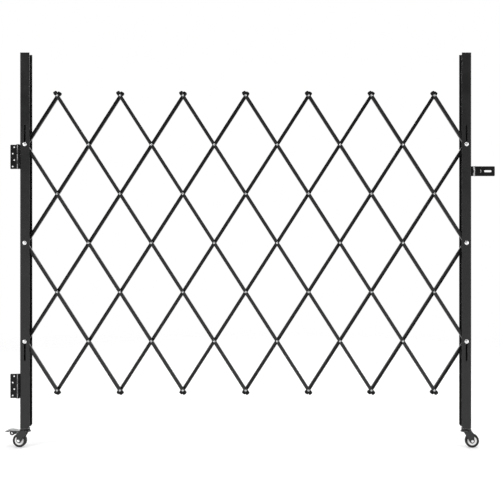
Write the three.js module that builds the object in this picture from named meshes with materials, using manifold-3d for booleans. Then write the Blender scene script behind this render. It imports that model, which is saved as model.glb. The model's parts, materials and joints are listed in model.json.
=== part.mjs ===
// Folding security gate: a riveted scissor lattice of steel channel bars between
// two upright channel posts. One post hangs on two butt hinges, the other carries
// a hasp, and each post rolls on a swivel caster.
// Millimetres, X along the open gate, Y towards its back, Z up from the floor.

import * as THREE from 'three';
import { mergeVertices } from 'three/addons/utils/BufferGeometryUtils.js';
import Module from 'manifold-3d';

const wasm = await Module();
wasm.setup();

const degrees = THREE.MathUtils.degToRad;

// Clearances shared by the whole gate
const runningGap = 0.3;
const seatGap = 0.2;
const cutOverrun = 2;

// Main sizes of the open gate: between the post axes, and up each post from its foot
const gateSpan = 1616.8;
const postLength = 1376;
const latticeFootMargin = 137.9;
const latticeTopMargin = 155;

// Lattice of crossed bars, where one family takes every other column of the top row
const foldedAngle = degrees(4);
const latticeColumns = 14;
const latticeRows = 6;
const slidingRow = 1;
const familyStep = 2;
const barWidth = 12.5;
const barDepth = 10;
const barWall = 1.5;
const barBend = 1.6;
const barEnd = 13;
const barCorner = 2.6;
const barGap = 0.6;
const capNearReach = 5;
const capFarReach = 16;
const capWall = 0.9;
const capCorner = 3.2;
const rivetRadius = 2.9;
const rivetHeadRadius = 4;
const rivetHeadHeight = 2.2;
const rivetSides = 6;

// Upright posts
const postWidth = 35;
const postDepth = 40;
const postWall = 1.8;
const postBend = 3.5;
const postFloorGap = 72;
const postChamferWidth = 11;
const postChamferHeight = 14;

// Bolts that join the lattice to the posts
const boltRadius = 3;
const boltHeadRadius = 7.5;
const boltHeadHeight = 3.2;
const boltSpacerRadius = 5.5;
const boltSides = 8;
const slotPlay = 0.5;
const slotEndRoom = 1.5;

// Butt hinges on the left post
const hingeHeight = 88.9;
const hingeReach = 29.5;
const hingeLeaf = 2.5;
const hingeBarrelRadius = 6.3;
const hingePinRadius = 3.1;
const hingePinCapHeight = 0.9;
const hingeKnuckles = 5;
const hingeKnuckleGap = 0.5;
const hingeCorner = 2.5;
const hingeHoleRadius = 2.9;
const hingeHolePitch = 23.6;
const hingeNearHole = 15.9;
const hingeFarHole = 21.3;
const hingeRivetRadius = 4.2;
const hingeRivetHeight = 1.3;
const hingeStandOff = 0.5;
const upperHingeRise = 994.5;
const lowerHingeRise = 155.5;
const barrelSides = 12;
const holeSides = 8;

// Hasp on the right post
const haspRise = 942;
const haspHeight = 36;
const haspPlate = 2;
const haspBarrelRadius = 3.8;
const haspPinRadius = 1.9;
const haspPinCapHeight = 1.4;
const haspBarrelReach = 12.7;
const haspStrapReach = 74;
const haspBaseDepth = 27;
const haspFrontInset = 2;
const haspCorner = 3;
const haspSlotLength = 27;
const haspSlotWidth = 7;
const haspSlotEndRoom = 12;
const haspKnuckles = 3;
const haspKnuckleGap = 0.5;
const haspRibRadius = 11;
const haspRibWidth = 4;
const haspRibHeight = 1.2;
const haspRibReach = 25;
const haspRibSpread = degrees(38);

// Swivel casters under the posts
const wheelRadius = 25;
const wheelWidth = 19;
const tyreCorner = 3.2;
const coreRadius = 17.6;
const coreWidth = 16;
const hubRadius = 10.5;
const hubWidth = 22;
const axleRadius = 3;
const axleHeadRadius = 4.8;
const axleHeadHeight = 2.8;
const swivelOffset = 23.8;
const forkGapToHub = 0.5;
const forkWall = 2.2;
const forkCrownRadius = 17.8;
const forkCrownHeight = 60.4;
const forkCrownWall = 2.6;
const forkCupRadius = 13.8;
const forkCupHeight = 67.4;
const forkFootRadius = 9;
const forkLeadingReach = 5;
const forkTrailingReach = 27.5;
const stemRadius = 4.8;
const stemLength = 19;
const stemRivetRadius = 7.5;
const stemRivetHeight = 2.2;
const stemCollarRadius = 7;
const stemWasherRadius = 12.5;
const stemWasherHeight = 1.6;
const stemWasherGap = 0.6;
const casterYaw = degrees(6);
const footPlate = 3;
const footPlateRise = 3;
const footPlateReach = 10;
const stemNutRadius = 8.4;
const stemNutHeight = 6;
const wheelSides = 22;
const stemSides = 10;
const hexSides = 6;

// Brake pedal of the left caster
const brakePivotReach = 27.5;
const brakePivotHeight = 56;
const brakeEarRadius = 5;
const brakePinRadius = 1.9;
const brakePinHeadRadius = 3.4;
const brakePinHeadHeight = 1.2;
const pedalPlate = 2;
const pedalEarRadius = 3.7;
const pedalRootReach = 22.5;
const pedalRootHeight = 59.6;
const pedalCrestReach = 56;
const pedalCrestHeight = 65;
const pedalTipReach = 80;
const pedalTipHeight = 54.5;
const pedalPadReach = 46;
const pedalPadWidth = 30;
const pedalLobeReach = 54;
const pedalLobeHeight = 51.8;
const pedalLobeRadius = 7;
const pedalLobeHoleRadius = 3.2;
const pedalArmDrop = 6;
const shoeWidth = 14;
const shoeWall = 2.6;
const shoeGap = 2.3;
const shoeRootReach = 44;

// Values that follow from the sizes above
const latticeHeight = postLength - latticeTopMargin - latticeFootMargin;
const columnPitch = gateSpan / latticeColumns;
const rowPitch = latticeHeight / latticeRows;
const pivotPitch = Math.hypot(columnPitch, rowPitch);
const openAngle = Math.atan2(columnPitch, rowPitch);
const barsPerFamily = (latticeColumns + latticeRows) / familyStep;
const postAxis = gateSpan / 2;
const slidingRows = latticeRows / 2 - slidingRow;
const pinDrop = slidingRows * rowPitch;
const pinTravel = slidingRows * pivotPitch * Math.cos(foldedAngle) - pinDrop;
const middlePivotRise = latticeFootMargin + latticeHeight / 2;
const middlePivotHeight = postFloorGap + middlePivotRise;
const barFace = barGap / 2 + barDepth;
const slotRadius = boltRadius + slotPlay;
const postFront = postDepth / 2;
const postOuter = postWidth / 2;
const forkInner = hubWidth / 2 + forkGapToHub;
const forkOuter = forkInner + forkWall;

// Materials, one for each finish
const blackPaint = () => new THREE.MeshStandardMaterial({ color: 0x2e2e2e, roughness: 0.45, metalness: 0.3 });
const greyPaint = () => new THREE.MeshStandardMaterial({ color: 0x3a3a3a, roughness: 0.5, metalness: 0.3 });
const zincSteel = () => new THREE.MeshStandardMaterial({ color: 0xb9bcc0, roughness: 0.3, metalness: 0.9 });
const blackRubber = () => new THREE.MeshStandardMaterial({ color: 0x1d1d1d, roughness: 0.8, metalness: 0 });
const paleCore = () => new THREE.MeshStandardMaterial({ color: 0xd9d9d6, roughness: 0.5, metalness: 0 });

// Shapes and solids

function solidOf(geometry) {
  const bare = geometry.index ? geometry.toNonIndexed() : geometry;
  for (const attribute of Object.keys(bare.attributes)) {
    if (attribute !== 'position') {
      bare.deleteAttribute(attribute);
    }
  }
  const merged = mergeVertices(bare);
  const triVerts = Uint32Array.from(merged.index.array);
  const vertProperties = Float32Array.from(merged.attributes.position.array);
  return new wasm.Manifold(new wasm.Mesh({ numProp: 3, vertProperties, triVerts }));
}

function geometryOf(solid) {
  const mesh = solid.getMesh();
  const geometry = new THREE.BufferGeometry();
  geometry.setAttribute('position', new THREE.BufferAttribute(mesh.vertProperties, mesh.numProp));
  geometry.setIndex(new THREE.BufferAttribute(mesh.triVerts, 1));
  const faceted = geometry.toNonIndexed();
  faceted.computeVertexNormals();
  return faceted;
}

function meshOf(name, solid, material) {
  const mesh = new THREE.Mesh(geometryOf(solid), material);
  mesh.name = name;
  return mesh;
}

const join = (first, ...others) => others.reduce((whole, other) => whole.add(other), first);
const cut = (first, ...others) => others.reduce((whole, other) => whole.subtract(other), first);

function block(low, high) {
  const size = high.map((value, i) => value - low[i]);
  const geometry = new THREE.BoxGeometry(...size);
  geometry.translate(...low.map((value, i) => value + size[i] / 2));
  return solidOf(geometry);
}

// A bar of round section along Z from low to high
function roundBar(radius, low, high, sides) {
  const geometry = new THREE.CylinderGeometry(radius, radius, high - low, sides);
  geometry.rotateX(Math.PI / 2);
  geometry.translate(0, 0, (low + high) / 2);
  return solidOf(geometry);
}

// The same bar along Y, through a place in X and Z
function crossBar(radius, low, high, sides, x = 0, z = 0) {
  const geometry = new THREE.CylinderGeometry(radius, radius, high - low, sides);
  geometry.translate(x, (low + high) / 2, z);
  return solidOf(geometry);
}

// Radius of a faceted bore whose flats clear a bar of that radius
function boreRadius(radius, sides) {
  return (radius + runningGap) / Math.cos(Math.PI / sides);
}

// A profile of [radius, place] pairs turned about the Y axis, from low to high
function turnedAlongY(profile, sides) {
  const points = profile.map(([radius, place]) => new THREE.Vector2(radius, place));
  return new THREE.LatheGeometry(points, sides);
}

function turnedAlongZ(profile, sides) {
  const geometry = turnedAlongY(profile, sides);
  geometry.rotateX(Math.PI / 2);
  return solidOf(geometry);
}

// An outline in X and Y, drawn upwards along Z from low to high
function upright(shape, low, high, curveSegments = 1) {
  const geometry = new THREE.ExtrudeGeometry(shape, { depth: high - low, bevelEnabled: false, curveSegments });
  geometry.translate(0, 0, low);
  return solidOf(geometry);
}

// An outline in X and Z, drawn along Y from low to high
function across(shape, low, high, curveSegments = 4) {
  const geometry = new THREE.ExtrudeGeometry(shape, { depth: high - low, bevelEnabled: false, curveSegments });
  geometry.rotateX(Math.PI / 2);
  geometry.translate(0, high, 0);
  return solidOf(geometry);
}

// A folded channel: the web stands on Y at the low end of X, the flanges run along X
function channelShape(webWidth, flangeReach, wall, bend) {
  const half = webWidth / 2;
  const inner = half - wall;
  const shape = new THREE.Shape();
  shape.moveTo(flangeReach, half);
  shape.lineTo(bend, half);
  shape.absarc(bend, half - bend, bend, Math.PI / 2, Math.PI, false);
  shape.lineTo(0, bend - half);
  shape.absarc(bend, bend - half, bend, Math.PI, Math.PI * 3 / 2, false);
  shape.lineTo(flangeReach, -half);
  shape.lineTo(flangeReach, -inner);
  shape.lineTo(wall, -inner);
  shape.lineTo(wall, inner);
  shape.lineTo(flangeReach, inner);
  shape.closePath();
  return shape;
}

function roundedRectangle(left, bottom, right, top, corner) {
  const shape = new THREE.Shape();
  shape.moveTo(left + corner, bottom);
  shape.lineTo(right - corner, bottom);
  shape.absarc(right - corner, bottom + corner, corner, -Math.PI / 2, 0, false);
  shape.lineTo(right, top - corner);
  shape.absarc(right - corner, top - corner, corner, 0, Math.PI / 2, false);
  shape.lineTo(left + corner, top);
  shape.absarc(left + corner, top - corner, corner, Math.PI / 2, Math.PI, false);
  shape.lineTo(left, bottom + corner);
  shape.absarc(left + corner, bottom + corner, corner, Math.PI, Math.PI * 3 / 2, false);
  return shape;
}

// A slot with round ends whose end centres stand at low and high
function slotShape(radius, low, high) {
  const shape = new THREE.Shape();
  shape.absarc(0, low, radius, Math.PI, Math.PI * 2, false);
  shape.absarc(0, high, radius, 0, Math.PI, false);
  return shape;
}

// Lattice bars

// Column, row and number of pitches of the bar whose upper left end is at that pivot
function barRun(index) {
  const lead = familyStep * index + slidingRow - latticeRows;
  const column = Math.max(0, lead);
  const row = Math.max(0, -lead);
  return { column, row, pitches: Math.min(latticeRows - row, latticeColumns - column) };
}

const isOnPost = (column) => column === 0 || column === latticeColumns;

// The plain channel with its web at the front or at the rear, running up from its first pivot
function barChannel(pitches, side) {
  const low = -barEnd;
  const high = pitches * pivotPitch + barEnd;
  const shape = channelShape(barWidth, barDepth, barWall, barBend);
  const channel = upright(shape, low, high).rotate([0, 0, side * 90]).translate([0, side * -barFace, 0]);
  const plan = roundedRectangle(-barWidth / 2, low, barWidth / 2, high, barCorner);
  return channel.intersect(across(plan, -barFace - cutOverrun, barFace + cutOverrun, 1));
}

// The moulded cap over the free end of a bar, beyond its pivot in the direction given
function endCap(pivot, direction, side) {
  const half = barWidth / 2 + capWall;
  const near = pivot + direction * capNearReach;
  const far = pivot + direction * capFarReach;
  const shoulder = far - direction * capCorner;
  const plan = new THREE.Shape([
    new THREE.Vector2(-half, near),
    new THREE.Vector2(half, near),
    new THREE.Vector2(half, shoulder),
    new THREE.Vector2(half - capCorner, far),
    new THREE.Vector2(capCorner - half, far),
    new THREE.Vector2(-half, shoulder),
  ]);
  const faces = [-barGap / 2, -barFace - capWall].map((place) => side * place);
  return across(plan, Math.min(...faces), Math.max(...faces));
}

// One rivet from its front head, fused to the front web, to its tail behind the rear web
function rivet(place) {
  const crownShare = 0.7;
  const front = -barFace;
  const rear = barFace + runningGap;
  const head = turnedAlongY([
    [0, front - rivetHeadHeight],
    [rivetHeadRadius * crownShare, front - rivetHeadHeight],
    [rivetHeadRadius, front],
    [rivetHeadRadius, front + seatGap],
    [0, front + seatGap],
  ], rivetSides);
  const shank = turnedAlongY([
    [0, front],
    [rivetRadius, front],
    [rivetRadius, rear],
    [rivetHeadRadius, rear],
    [rivetHeadRadius * crownShare, rear + rivetHeadHeight],
    [0, rear + rivetHeadHeight],
  ], rivetSides);
  return join(solidOf(head), solidOf(shank)).translate([0, 0, place]);
}

function barSolid(column, pitches, side) {
  const through = barFace + cutOverrun;
  let bar = barChannel(pitches, side);
  for (let step = 0; step <= pitches; step += 1) {
    const place = step * pivotPitch;
    if (isOnPost(column + step)) {
      bar = cut(bar, crossBar(boreRadius(boltRadius, boltSides), -through, through, boltSides, 0, place));
    } else if (side > 0) {
      bar = join(bar, rivet(place));
    } else {
      bar = cut(bar, crossBar(boreRadius(rivetRadius, rivetSides), 0, through, rivetSides, 0, place));
    }
  }
  if (!isOnPost(column)) {
    bar = join(bar, endCap(0, -1, side));
  }
  if (!isOnPost(column + pitches)) {
    bar = join(bar, endCap(pitches * pivotPitch, 1, side));
  }
  return bar;
}

function pivotPlace(column, row) {
  return [column * columnPitch - postAxis, 0, middlePivotHeight + (latticeRows / 2 - row) * rowPitch];
}

function latticeBars() {
  const group = new THREE.Group();
  for (let index = 0; index < barsPerFamily; index += 1) {
    const { column, row, pitches } = barRun(index);
    const front = meshOf(`front_bar_${index + 1}`, barSolid(column, pitches, 1), blackPaint());
    front.position.set(...pivotPlace(column, row));
    front.rotation.y = Math.PI - openAngle;
    const rear = meshOf(`rear_bar_${index + 1}`, barSolid(column, pitches, -1), blackPaint());
    rear.position.set(...pivotPlace(column, latticeRows - row));
    rear.rotation.y = openAngle;
    group.add(front, rear);
  }
  return group;
}

// Posts and the bolts through them

// The left post about its own axis, with its foot at zero and its mouth towards X
function postSolid() {
  const shape = channelShape(postDepth, postWidth, postWall, postBend);
  const through = postFront + cutOverrun;
  const low = slotShape(slotRadius, -pinDrop - pinTravel - slotEndRoom, -pinDrop);
  const high = slotShape(slotRadius, pinDrop, pinDrop + pinTravel + slotEndRoom);
  const corner = new THREE.Shape([
    new THREE.Vector2(postOuter + cutOverrun, -cutOverrun),
    new THREE.Vector2(postOuter + cutOverrun, postChamferHeight),
    new THREE.Vector2(postOuter, postChamferHeight),
    new THREE.Vector2(postOuter - postChamferWidth, 0),
    new THREE.Vector2(postOuter - postChamferWidth, -cutOverrun),
  ]);
  return cut(
    upright(shape, 0, postLength, 2).translate([-postOuter, 0, 0]),
    across(low, -through, through).translate([0, 0, middlePivotRise]),
    across(high, -through, through).translate([0, 0, middlePivotRise]),
    crossBar(boreRadius(boltRadius, boltSides), -through, through, boltSides, 0, middlePivotRise),
    across(corner, -through, through),
  );
}

// A plate welded across the foot of the post, drilled for the caster stem
function footPlateSolid() {
  const inner = postOuter - postWall - seatGap;
  const half = postFront - postWall - seatGap;
  const low = footPlateRise;
  const plate = block([-inner, -half, low], [footPlateReach, half, low + footPlate]);
  const bore = boreRadius(stemRadius, stemSides);
  return cut(plate, roundBar(bore, low - cutOverrun, low + footPlate + cutOverrun, stemSides));
}

// A bolt with a pan head, a spacer each side of the lattice and a nut like the head
function pivotBoltSolid() {
  const crownShare = 0.62;
  const head = postFront + runningGap;
  const spacerOuter = postFront - postWall - runningGap;
  const spacerInner = barFace + runningGap;
  const top = head + boltHeadHeight;
  const shoulder = head + boltHeadHeight * (1 - crownShare);
  const half = [
    [boltRadius, spacerInner],
    [boltSpacerRadius, spacerInner],
    [boltSpacerRadius, spacerOuter],
    [boltRadius, spacerOuter],
    [boltRadius, head],
    [boltHeadRadius, head],
    [boltHeadRadius, shoulder],
    [boltHeadRadius * crownShare, top],
    [0, top],
  ];
  const mirrored = half.map(([radius, place]) => [radius, -place]).reverse();
  return solidOf(turnedAlongY([...mirrored, ...half], boltSides));
}

// Hinges

// Heights of every other knuckle from the first one given
function knuckleBands(height, count, first) {
  const bands = [];
  for (let index = first; index < count; index += 2) {
    bands.push([height * index / count, height * (index + 1) / count]);
  }
  return bands;
}

// A leaf with its flat side on the tangent of its barrel, running towards minus X
function rolledLeaf(spec, first) {
  const { height, count, reach, wall, radius, pinRadius, gap, corner } = spec;
  const plan = roundedRectangle(-reach, 0, 0, height, corner);
  const edge = block([-radius, radius - wall, 0], [0, radius, height]);
  let leaf = join(across(plan, radius - wall, radius, 1), edge);
  for (const [low, high] of knuckleBands(height, count, first)) {
    leaf = join(leaf, roundBar(radius, low, high, barrelSides));
  }
  for (const [low, high] of knuckleBands(height, count, 1 - first)) {
    const room = radius + gap;
    leaf = cut(leaf, block([-room, -room, low - gap / 2], [room, room, high + gap / 2]));
  }
  return cut(leaf, roundBar(boreRadius(pinRadius, barrelSides), -cutOverrun, height + cutOverrun, barrelSides));
}

const hingeSpec = {
  height: hingeHeight,
  count: hingeKnuckles,
  reach: hingeReach,
  wall: hingeLeaf,
  radius: hingeBarrelRadius,
  pinRadius: hingePinRadius,
  gap: hingeKnuckleGap,
  corner: hingeCorner,
};

// Places of the four staggered holes, from the barrel and from the foot of the leaf
function hingeHolePlaces() {
  const first = (hingeHeight - 3 * hingeHolePitch) / 2;
  return [0, 1, 2, 3].map((index) => [
    index % 2 === 0 ? hingeFarHole : hingeNearHole,
    first + index * hingeHolePitch,
  ]);
}

function wallLeafSolid() {
  const drills = hingeHolePlaces().map(([reach, height]) => crossBar(
    hingeHoleRadius,
    -hingeBarrelRadius - cutOverrun,
    hingeBarrelRadius + cutOverrun,
    holeSides,
    -reach,
    height,
  ));
  return cut(rolledLeaf(hingeSpec, 0), ...drills);
}

// The leaf that is riveted to the post, turned so that it runs along the web
function postLeafSolid() {
  const face = hingeBarrelRadius - hingeLeaf;
  const heads = hingeHolePlaces().map(([reach, height]) => crossBar(
    hingeRivetRadius,
    face - hingeRivetHeight,
    face + hingeLeaf / 2,
    holeSides,
    -reach,
    height,
  ));
  return join(rolledLeaf(hingeSpec, 1), ...heads).rotate([0, 0, -90]);
}

function hingePinSolid() {
  const profile = [
    [0, -hingePinCapHeight],
    [hingePinRadius, -hingePinCapHeight],
    [hingePinRadius, hingeHeight + runningGap],
    [hingeBarrelRadius, hingeHeight + runningGap],
    [hingeBarrelRadius, hingeHeight + runningGap + hingePinCapHeight / 2],
    [hingePinRadius, hingeHeight + runningGap + hingePinCapHeight],
    [0, hingeHeight + runningGap + hingePinCapHeight],
  ];
  return turnedAlongZ(profile, barrelSides);
}

function hinge(name, rise) {
  const group = new THREE.Group();
  group.position.set(
    -postAxis - postOuter - seatGap - hingeBarrelRadius,
    -postFront - hingeStandOff,
    postFloorGap + rise - hingeHeight / 2,
  );
  group.add(
    meshOf(`hinge_wall_leaf_${name}`, wallLeafSolid(), blackPaint()),
    meshOf(`hinge_post_leaf_${name}`, postLeafSolid(), blackPaint()),
    meshOf(`hinge_pin_${name}`, hingePinSolid(), greyPaint()),
  );
  return group;
}

// Hasp

const haspSpec = {
  height: haspHeight,
  count: haspKnuckles,
  reach: haspStrapReach,
  wall: haspPlate,
  radius: haspBarrelRadius,
  pinRadius: haspPinRadius,
  gap: haspKnuckleGap,
  corner: haspCorner,
};

// The slotted strap, with its pin at zero and its free end towards X
function haspStrapSolid() {
  const strap = rolledLeaf(haspSpec, 0).rotate([0, 180, 0]).translate([0, 0, haspHeight]);
  const slotCentre = haspStrapReach - haspSlotEndRoom - haspSlotLength / 2;
  const radius = haspSlotWidth / 2;
  const half = haspSlotLength / 2 - radius;
  const through = haspBarrelRadius + cutOverrun;
  const slot = across(slotShape(radius, -half, half), -through, through)
    .rotate([0, 90, 0])
    .translate([slotCentre, 0, haspHeight / 2]);
  return cut(join(strap, haspRib()), slot);
}

// The pressed rib that stiffens the strap beside its slot
function haspRib() {
  const shape = new THREE.Shape();
  const inner = haspRibRadius - haspRibWidth;
  shape.absarc(0, 0, haspRibRadius, -haspRibSpread, haspRibSpread, false);
  shape.absarc(0, 0, inner, haspRibSpread, -haspRibSpread, true);
  const front = haspBarrelRadius - haspPlate - haspRibHeight;
  const rib = across(shape, front, haspBarrelRadius - haspPlate / 2);
  return rib.translate([haspRibReach - haspRibRadius, 0, haspHeight / 2]);
}

// The angle that is riveted to the post's web and reaches out to the barrel
function haspBaseSolid() {
  const boring = boreRadius(haspPinRadius, barrelSides);
  const bore = roundBar(boring, -cutOverrun, haspHeight + cutOverrun, barrelSides);
  const face = haspBarrelRadius;
  const web = -haspBarrelReach + seatGap;
  let base = block([web, face - haspPlate, 0], [0, face, haspHeight]);
  const back = face - haspPlate + haspBaseDepth;
  base = join(base, block([web, face - haspPlate, 0], [web + haspPlate, back, haspHeight]));
  for (const [low, high] of knuckleBands(haspHeight, haspKnuckles, 1)) {
    base = join(base, roundBar(haspBarrelRadius, low, high, barrelSides));
  }
  for (const [low, high] of knuckleBands(haspHeight, haspKnuckles, 0)) {
    const room = haspBarrelRadius + haspKnuckleGap;
    const spread = haspKnuckleGap / 2;
    base = cut(base, block([-room, -room, low - spread], [room, room, high + spread]));
  }
  const rivets = [haspHeight / 4, haspHeight * 3 / 4].map((height) => {
    const inner = web + haspPlate / 2;
    const outer = web + haspPlate + hingeRivetHeight;
    const head = new THREE.CylinderGeometry(hingeRivetRadius, hingeRivetRadius, outer - inner, holeSides);
    head.rotateZ(Math.PI / 2);
    head.translate((inner + outer) / 2, face + haspBaseDepth / 2, height);
    return solidOf(head);
  });
  return cut(join(base, ...rivets), bore);
}

function haspPinSolid() {
  const profile = [
    [0, -haspPinCapHeight],
    [haspPinRadius, -haspPinCapHeight],
    [haspPinRadius, haspHeight + runningGap],
    [haspBarrelRadius, haspHeight + runningGap],
    [haspPinRadius, haspHeight + runningGap + haspPinCapHeight],
    [0, haspHeight + runningGap + haspPinCapHeight],
  ];
  return turnedAlongZ(profile, barrelSides);
}

function hasp() {
  const group = new THREE.Group();
  group.position.set(
    postAxis + postOuter + haspBarrelReach,
    -postFront + haspFrontInset,
    postFloorGap + haspRise - haspHeight / 2,
  );
  group.add(
    meshOf('hasp_base', haspBaseSolid(), blackPaint()),
    meshOf('hasp_strap', haspStrapSolid(), blackPaint()),
    meshOf('hasp_pin', haspPinSolid(), zincSteel()),
  );
  return group;
}

// Casters, about the swivel axis, with the wheel trailing towards X

function tyreSolid() {
  const half = wheelWidth / 2;
  const inner = coreRadius + seatGap;
  const profile = [
    [inner, -half],
    [wheelRadius - tyreCorner, -half],
    [wheelRadius, -half + tyreCorner],
    [wheelRadius, half - tyreCorner],
    [wheelRadius - tyreCorner, half],
    [inner, half],
    [inner, -half],
  ];
  return solidOf(turnedAlongY(profile, wheelSides));
}

function coreSolid() {
  const bore = boreRadius(axleRadius, wheelSides);
  const profile = [
    [bore, -hubWidth / 2],
    [hubRadius, -hubWidth / 2],
    [hubRadius, -coreWidth / 2],
    [coreRadius, -coreWidth / 2],
    [coreRadius, coreWidth / 2],
    [hubRadius, coreWidth / 2],
    [hubRadius, hubWidth / 2],
    [bore, hubWidth / 2],
    [bore, -hubWidth / 2],
  ];
  return solidOf(turnedAlongY(profile, wheelSides));
}

// Side view of a fork leg, with an ear for the brake where the caster has one
function legShape(hasBrake) {
  const top = forkCrownHeight - forkCrownWall / 2;
  const shape = new THREE.Shape();
  shape.moveTo(-forkLeadingReach, top);
  shape.lineTo(-forkLeadingReach, forkCrownHeight - 2 * forkCrownWall);
  shape.absarc(swivelOffset, wheelRadius, forkFootRadius, degrees(210), degrees(365), false);
  if (hasBrake) {
    shape.absarc(brakePivotReach, brakePivotHeight, brakeEarRadius, 0, degrees(120), false);
  } else {
    shape.lineTo(forkTrailingReach, forkCrownHeight - forkCrownWall);
    shape.lineTo(forkTrailingReach - forkCrownWall, top);
  }
  shape.closePath();
  return shape;
}

// Top plate between the legs, which stops short of the pedal where there is a brake
function crownSolid(hasBrake) {
  const low = forkCrownHeight - forkCrownWall;
  const reach = hasBrake ? pedalRootReach - pedalEarRadius : forkTrailingReach - forkCrownWall;
  const plate = block([-forkLeadingReach, -forkOuter, low], [reach, forkOuter, forkCrownHeight]);
  const cup = turnedAlongZ([
    [0, low],
    [forkCrownRadius, low],
    [forkCrownRadius, forkCrownHeight],
    [forkCupRadius, forkCrownHeight],
    [forkCupRadius, forkCupHeight],
    [0, forkCupHeight],
  ], barrelSides);
  return join(plate, cup);
}

function forkSolid(hasBrake) {
  const shape = legShape(hasBrake);
  const low = forkCrownHeight - forkCrownWall - cutOverrun;
  const through = forkOuter + cutOverrun;
  const fork = cut(
    join(crownSolid(hasBrake), across(shape, forkInner, forkOuter), across(shape, -forkOuter, -forkInner)),
    roundBar(boreRadius(stemRadius, stemSides), low, forkCupHeight + cutOverrun, stemSides),
    crossBar(boreRadius(axleRadius, holeSides), -through, through, holeSides, swivelOffset, wheelRadius),
  );
  if (!hasBrake) {
    return fork;
  }
  const drill = boreRadius(brakePinRadius, holeSides);
  return cut(fork, crossBar(drill, -through, through, holeSides, brakePivotReach, brakePivotHeight));
}

function axleSolid() {
  const head = forkOuter + runningGap;
  const profile = [
    [0, -head - axleHeadHeight],
    [axleHeadRadius, -head - axleHeadHeight],
    [axleHeadRadius, -head],
    [axleRadius, -head],
    [axleRadius, head],
    [axleHeadRadius, head],
    [axleHeadRadius, head + axleHeadHeight],
    [0, head + axleHeadHeight],
  ];
  return solidOf(turnedAlongY(profile, holeSides));
}

// The stem with its lower rivet head, its collar and the thrust washer under the post
function stemSolid() {
  const headTop = forkCrownHeight - forkCrownWall - runningGap;
  const collarBottom = forkCupHeight + runningGap;
  const washerTop = postFloorGap - stemWasherGap;
  const collarTop = postFloorGap + footPlateRise - seatGap;
  const profile = [
    [0, headTop - stemRivetHeight],
    [stemRivetRadius, headTop - stemRivetHeight],
    [stemRivetRadius, headTop],
    [stemRadius, headTop],
    [stemRadius, collarBottom],
    [stemCollarRadius, collarBottom],
    [stemCollarRadius, washerTop - stemWasherHeight],
    [stemWasherRadius, washerTop - stemWasherHeight],
    [stemWasherRadius, washerTop],
    [stemCollarRadius, washerTop],
    [stemCollarRadius, collarTop],
    [stemRadius, collarTop],
    [stemRadius, collarTop + stemLength],
    [0, collarTop + stemLength],
  ];
  return turnedAlongZ(profile, stemSides);
}

function stemNutSolid() {
  const low = postFloorGap + footPlateRise + footPlate + seatGap;
  const high = low + stemNutHeight;
  const nut = roundBar(stemNutRadius, low, high, hexSides);
  return cut(nut, roundBar(boreRadius(stemRadius, stemSides), low - cutOverrun, high + cutOverrun, stemSides));
}

// Side view of the pedal's side plates, from the ear at the pin to the turned-down tip
function pedalShape() {
  const shape = new THREE.Shape();
  shape.moveTo(pedalRootReach, pedalRootHeight);
  shape.absarc(brakePivotReach, brakePivotHeight, pedalEarRadius, degrees(180), degrees(290), false);
  shape.lineTo(pedalLobeReach - 2 * pedalLobeRadius, pedalCrestHeight - pedalArmDrop - pedalPlate);
  shape.absarc(pedalLobeReach, pedalLobeHeight, pedalLobeRadius, degrees(165), degrees(375), false);
  shape.lineTo(pedalTipReach, pedalTipHeight - pedalPlate);
  shape.lineTo(pedalTipReach, pedalTipHeight);
  shape.quadraticCurveTo(
    (pedalCrestReach + pedalTipReach) / 2 + pedalPlate,
    pedalCrestHeight,
    pedalCrestReach,
    pedalCrestHeight,
  );
  shape.closePath();
  return shape;
}

function pedalSolid() {
  const half = forkInner - runningGap;
  const inner = half - pedalPlate;
  const through = half + cutOverrun;
  const side = pedalShape();
  const below = pedalCrestHeight - pedalTipHeight + pedalPlate;
  const sides = cut(across(side, -half, half), across(side, -inner, inner).translate([0, 0, -pedalPlate]));
  const top = across(side, -pedalPadWidth / 2, pedalPadWidth / 2);
  const pad = cut(
    top.intersect(block([pedalPadReach, -pedalPadWidth, 0], [pedalTipReach, pedalPadWidth, pedalCrestHeight])),
    top.translate([0, 0, -pedalPlate]),
    block([0, -pedalPadWidth, 0], [pedalTipReach, pedalPadWidth, pedalCrestHeight - below]),
  );
  return cut(
    join(sides, pad, shoeSolid()),
    crossBar(boreRadius(brakePinRadius, holeSides), -through, through, holeSides, brakePivotReach, brakePivotHeight),
    crossBar(pedalLobeHoleRadius, -through, through, holeSides, pedalLobeReach, pedalLobeHeight),
  );
}

// The tongue under the pedal that bears on the tyre when the pedal goes down
function shoeSolid() {
  const rootHeight = pedalCrestHeight - 1.5 * pedalPlate;
  const run = [shoeRootReach - swivelOffset, rootHeight - wheelRadius];
  const length = Math.hypot(...run);
  const angle = Math.atan2(run[1], run[0]);
  const radius = wheelRadius + shoeGap;
  const tongue = block([radius, -shoeWidth / 2, -shoeWall / 2], [length, shoeWidth / 2, shoeWall / 2]);
  return tongue
    .rotate([0, -THREE.MathUtils.radToDeg(angle), 0])
    .translate([swivelOffset, 0, wheelRadius]);
}

function brakePinSolid() {
  const head = forkOuter + runningGap;
  const profile = [
    [0, -head - brakePinHeadHeight],
    [brakePinHeadRadius, -head - brakePinHeadHeight],
    [brakePinHeadRadius, -head],
    [brakePinRadius, -head],
    [brakePinRadius, head],
    [brakePinHeadRadius, head],
    [brakePinHeadRadius, head + brakePinHeadHeight],
    [0, head + brakePinHeadHeight],
  ];
  return solidOf(turnedAlongY(profile, holeSides));
}

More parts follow.
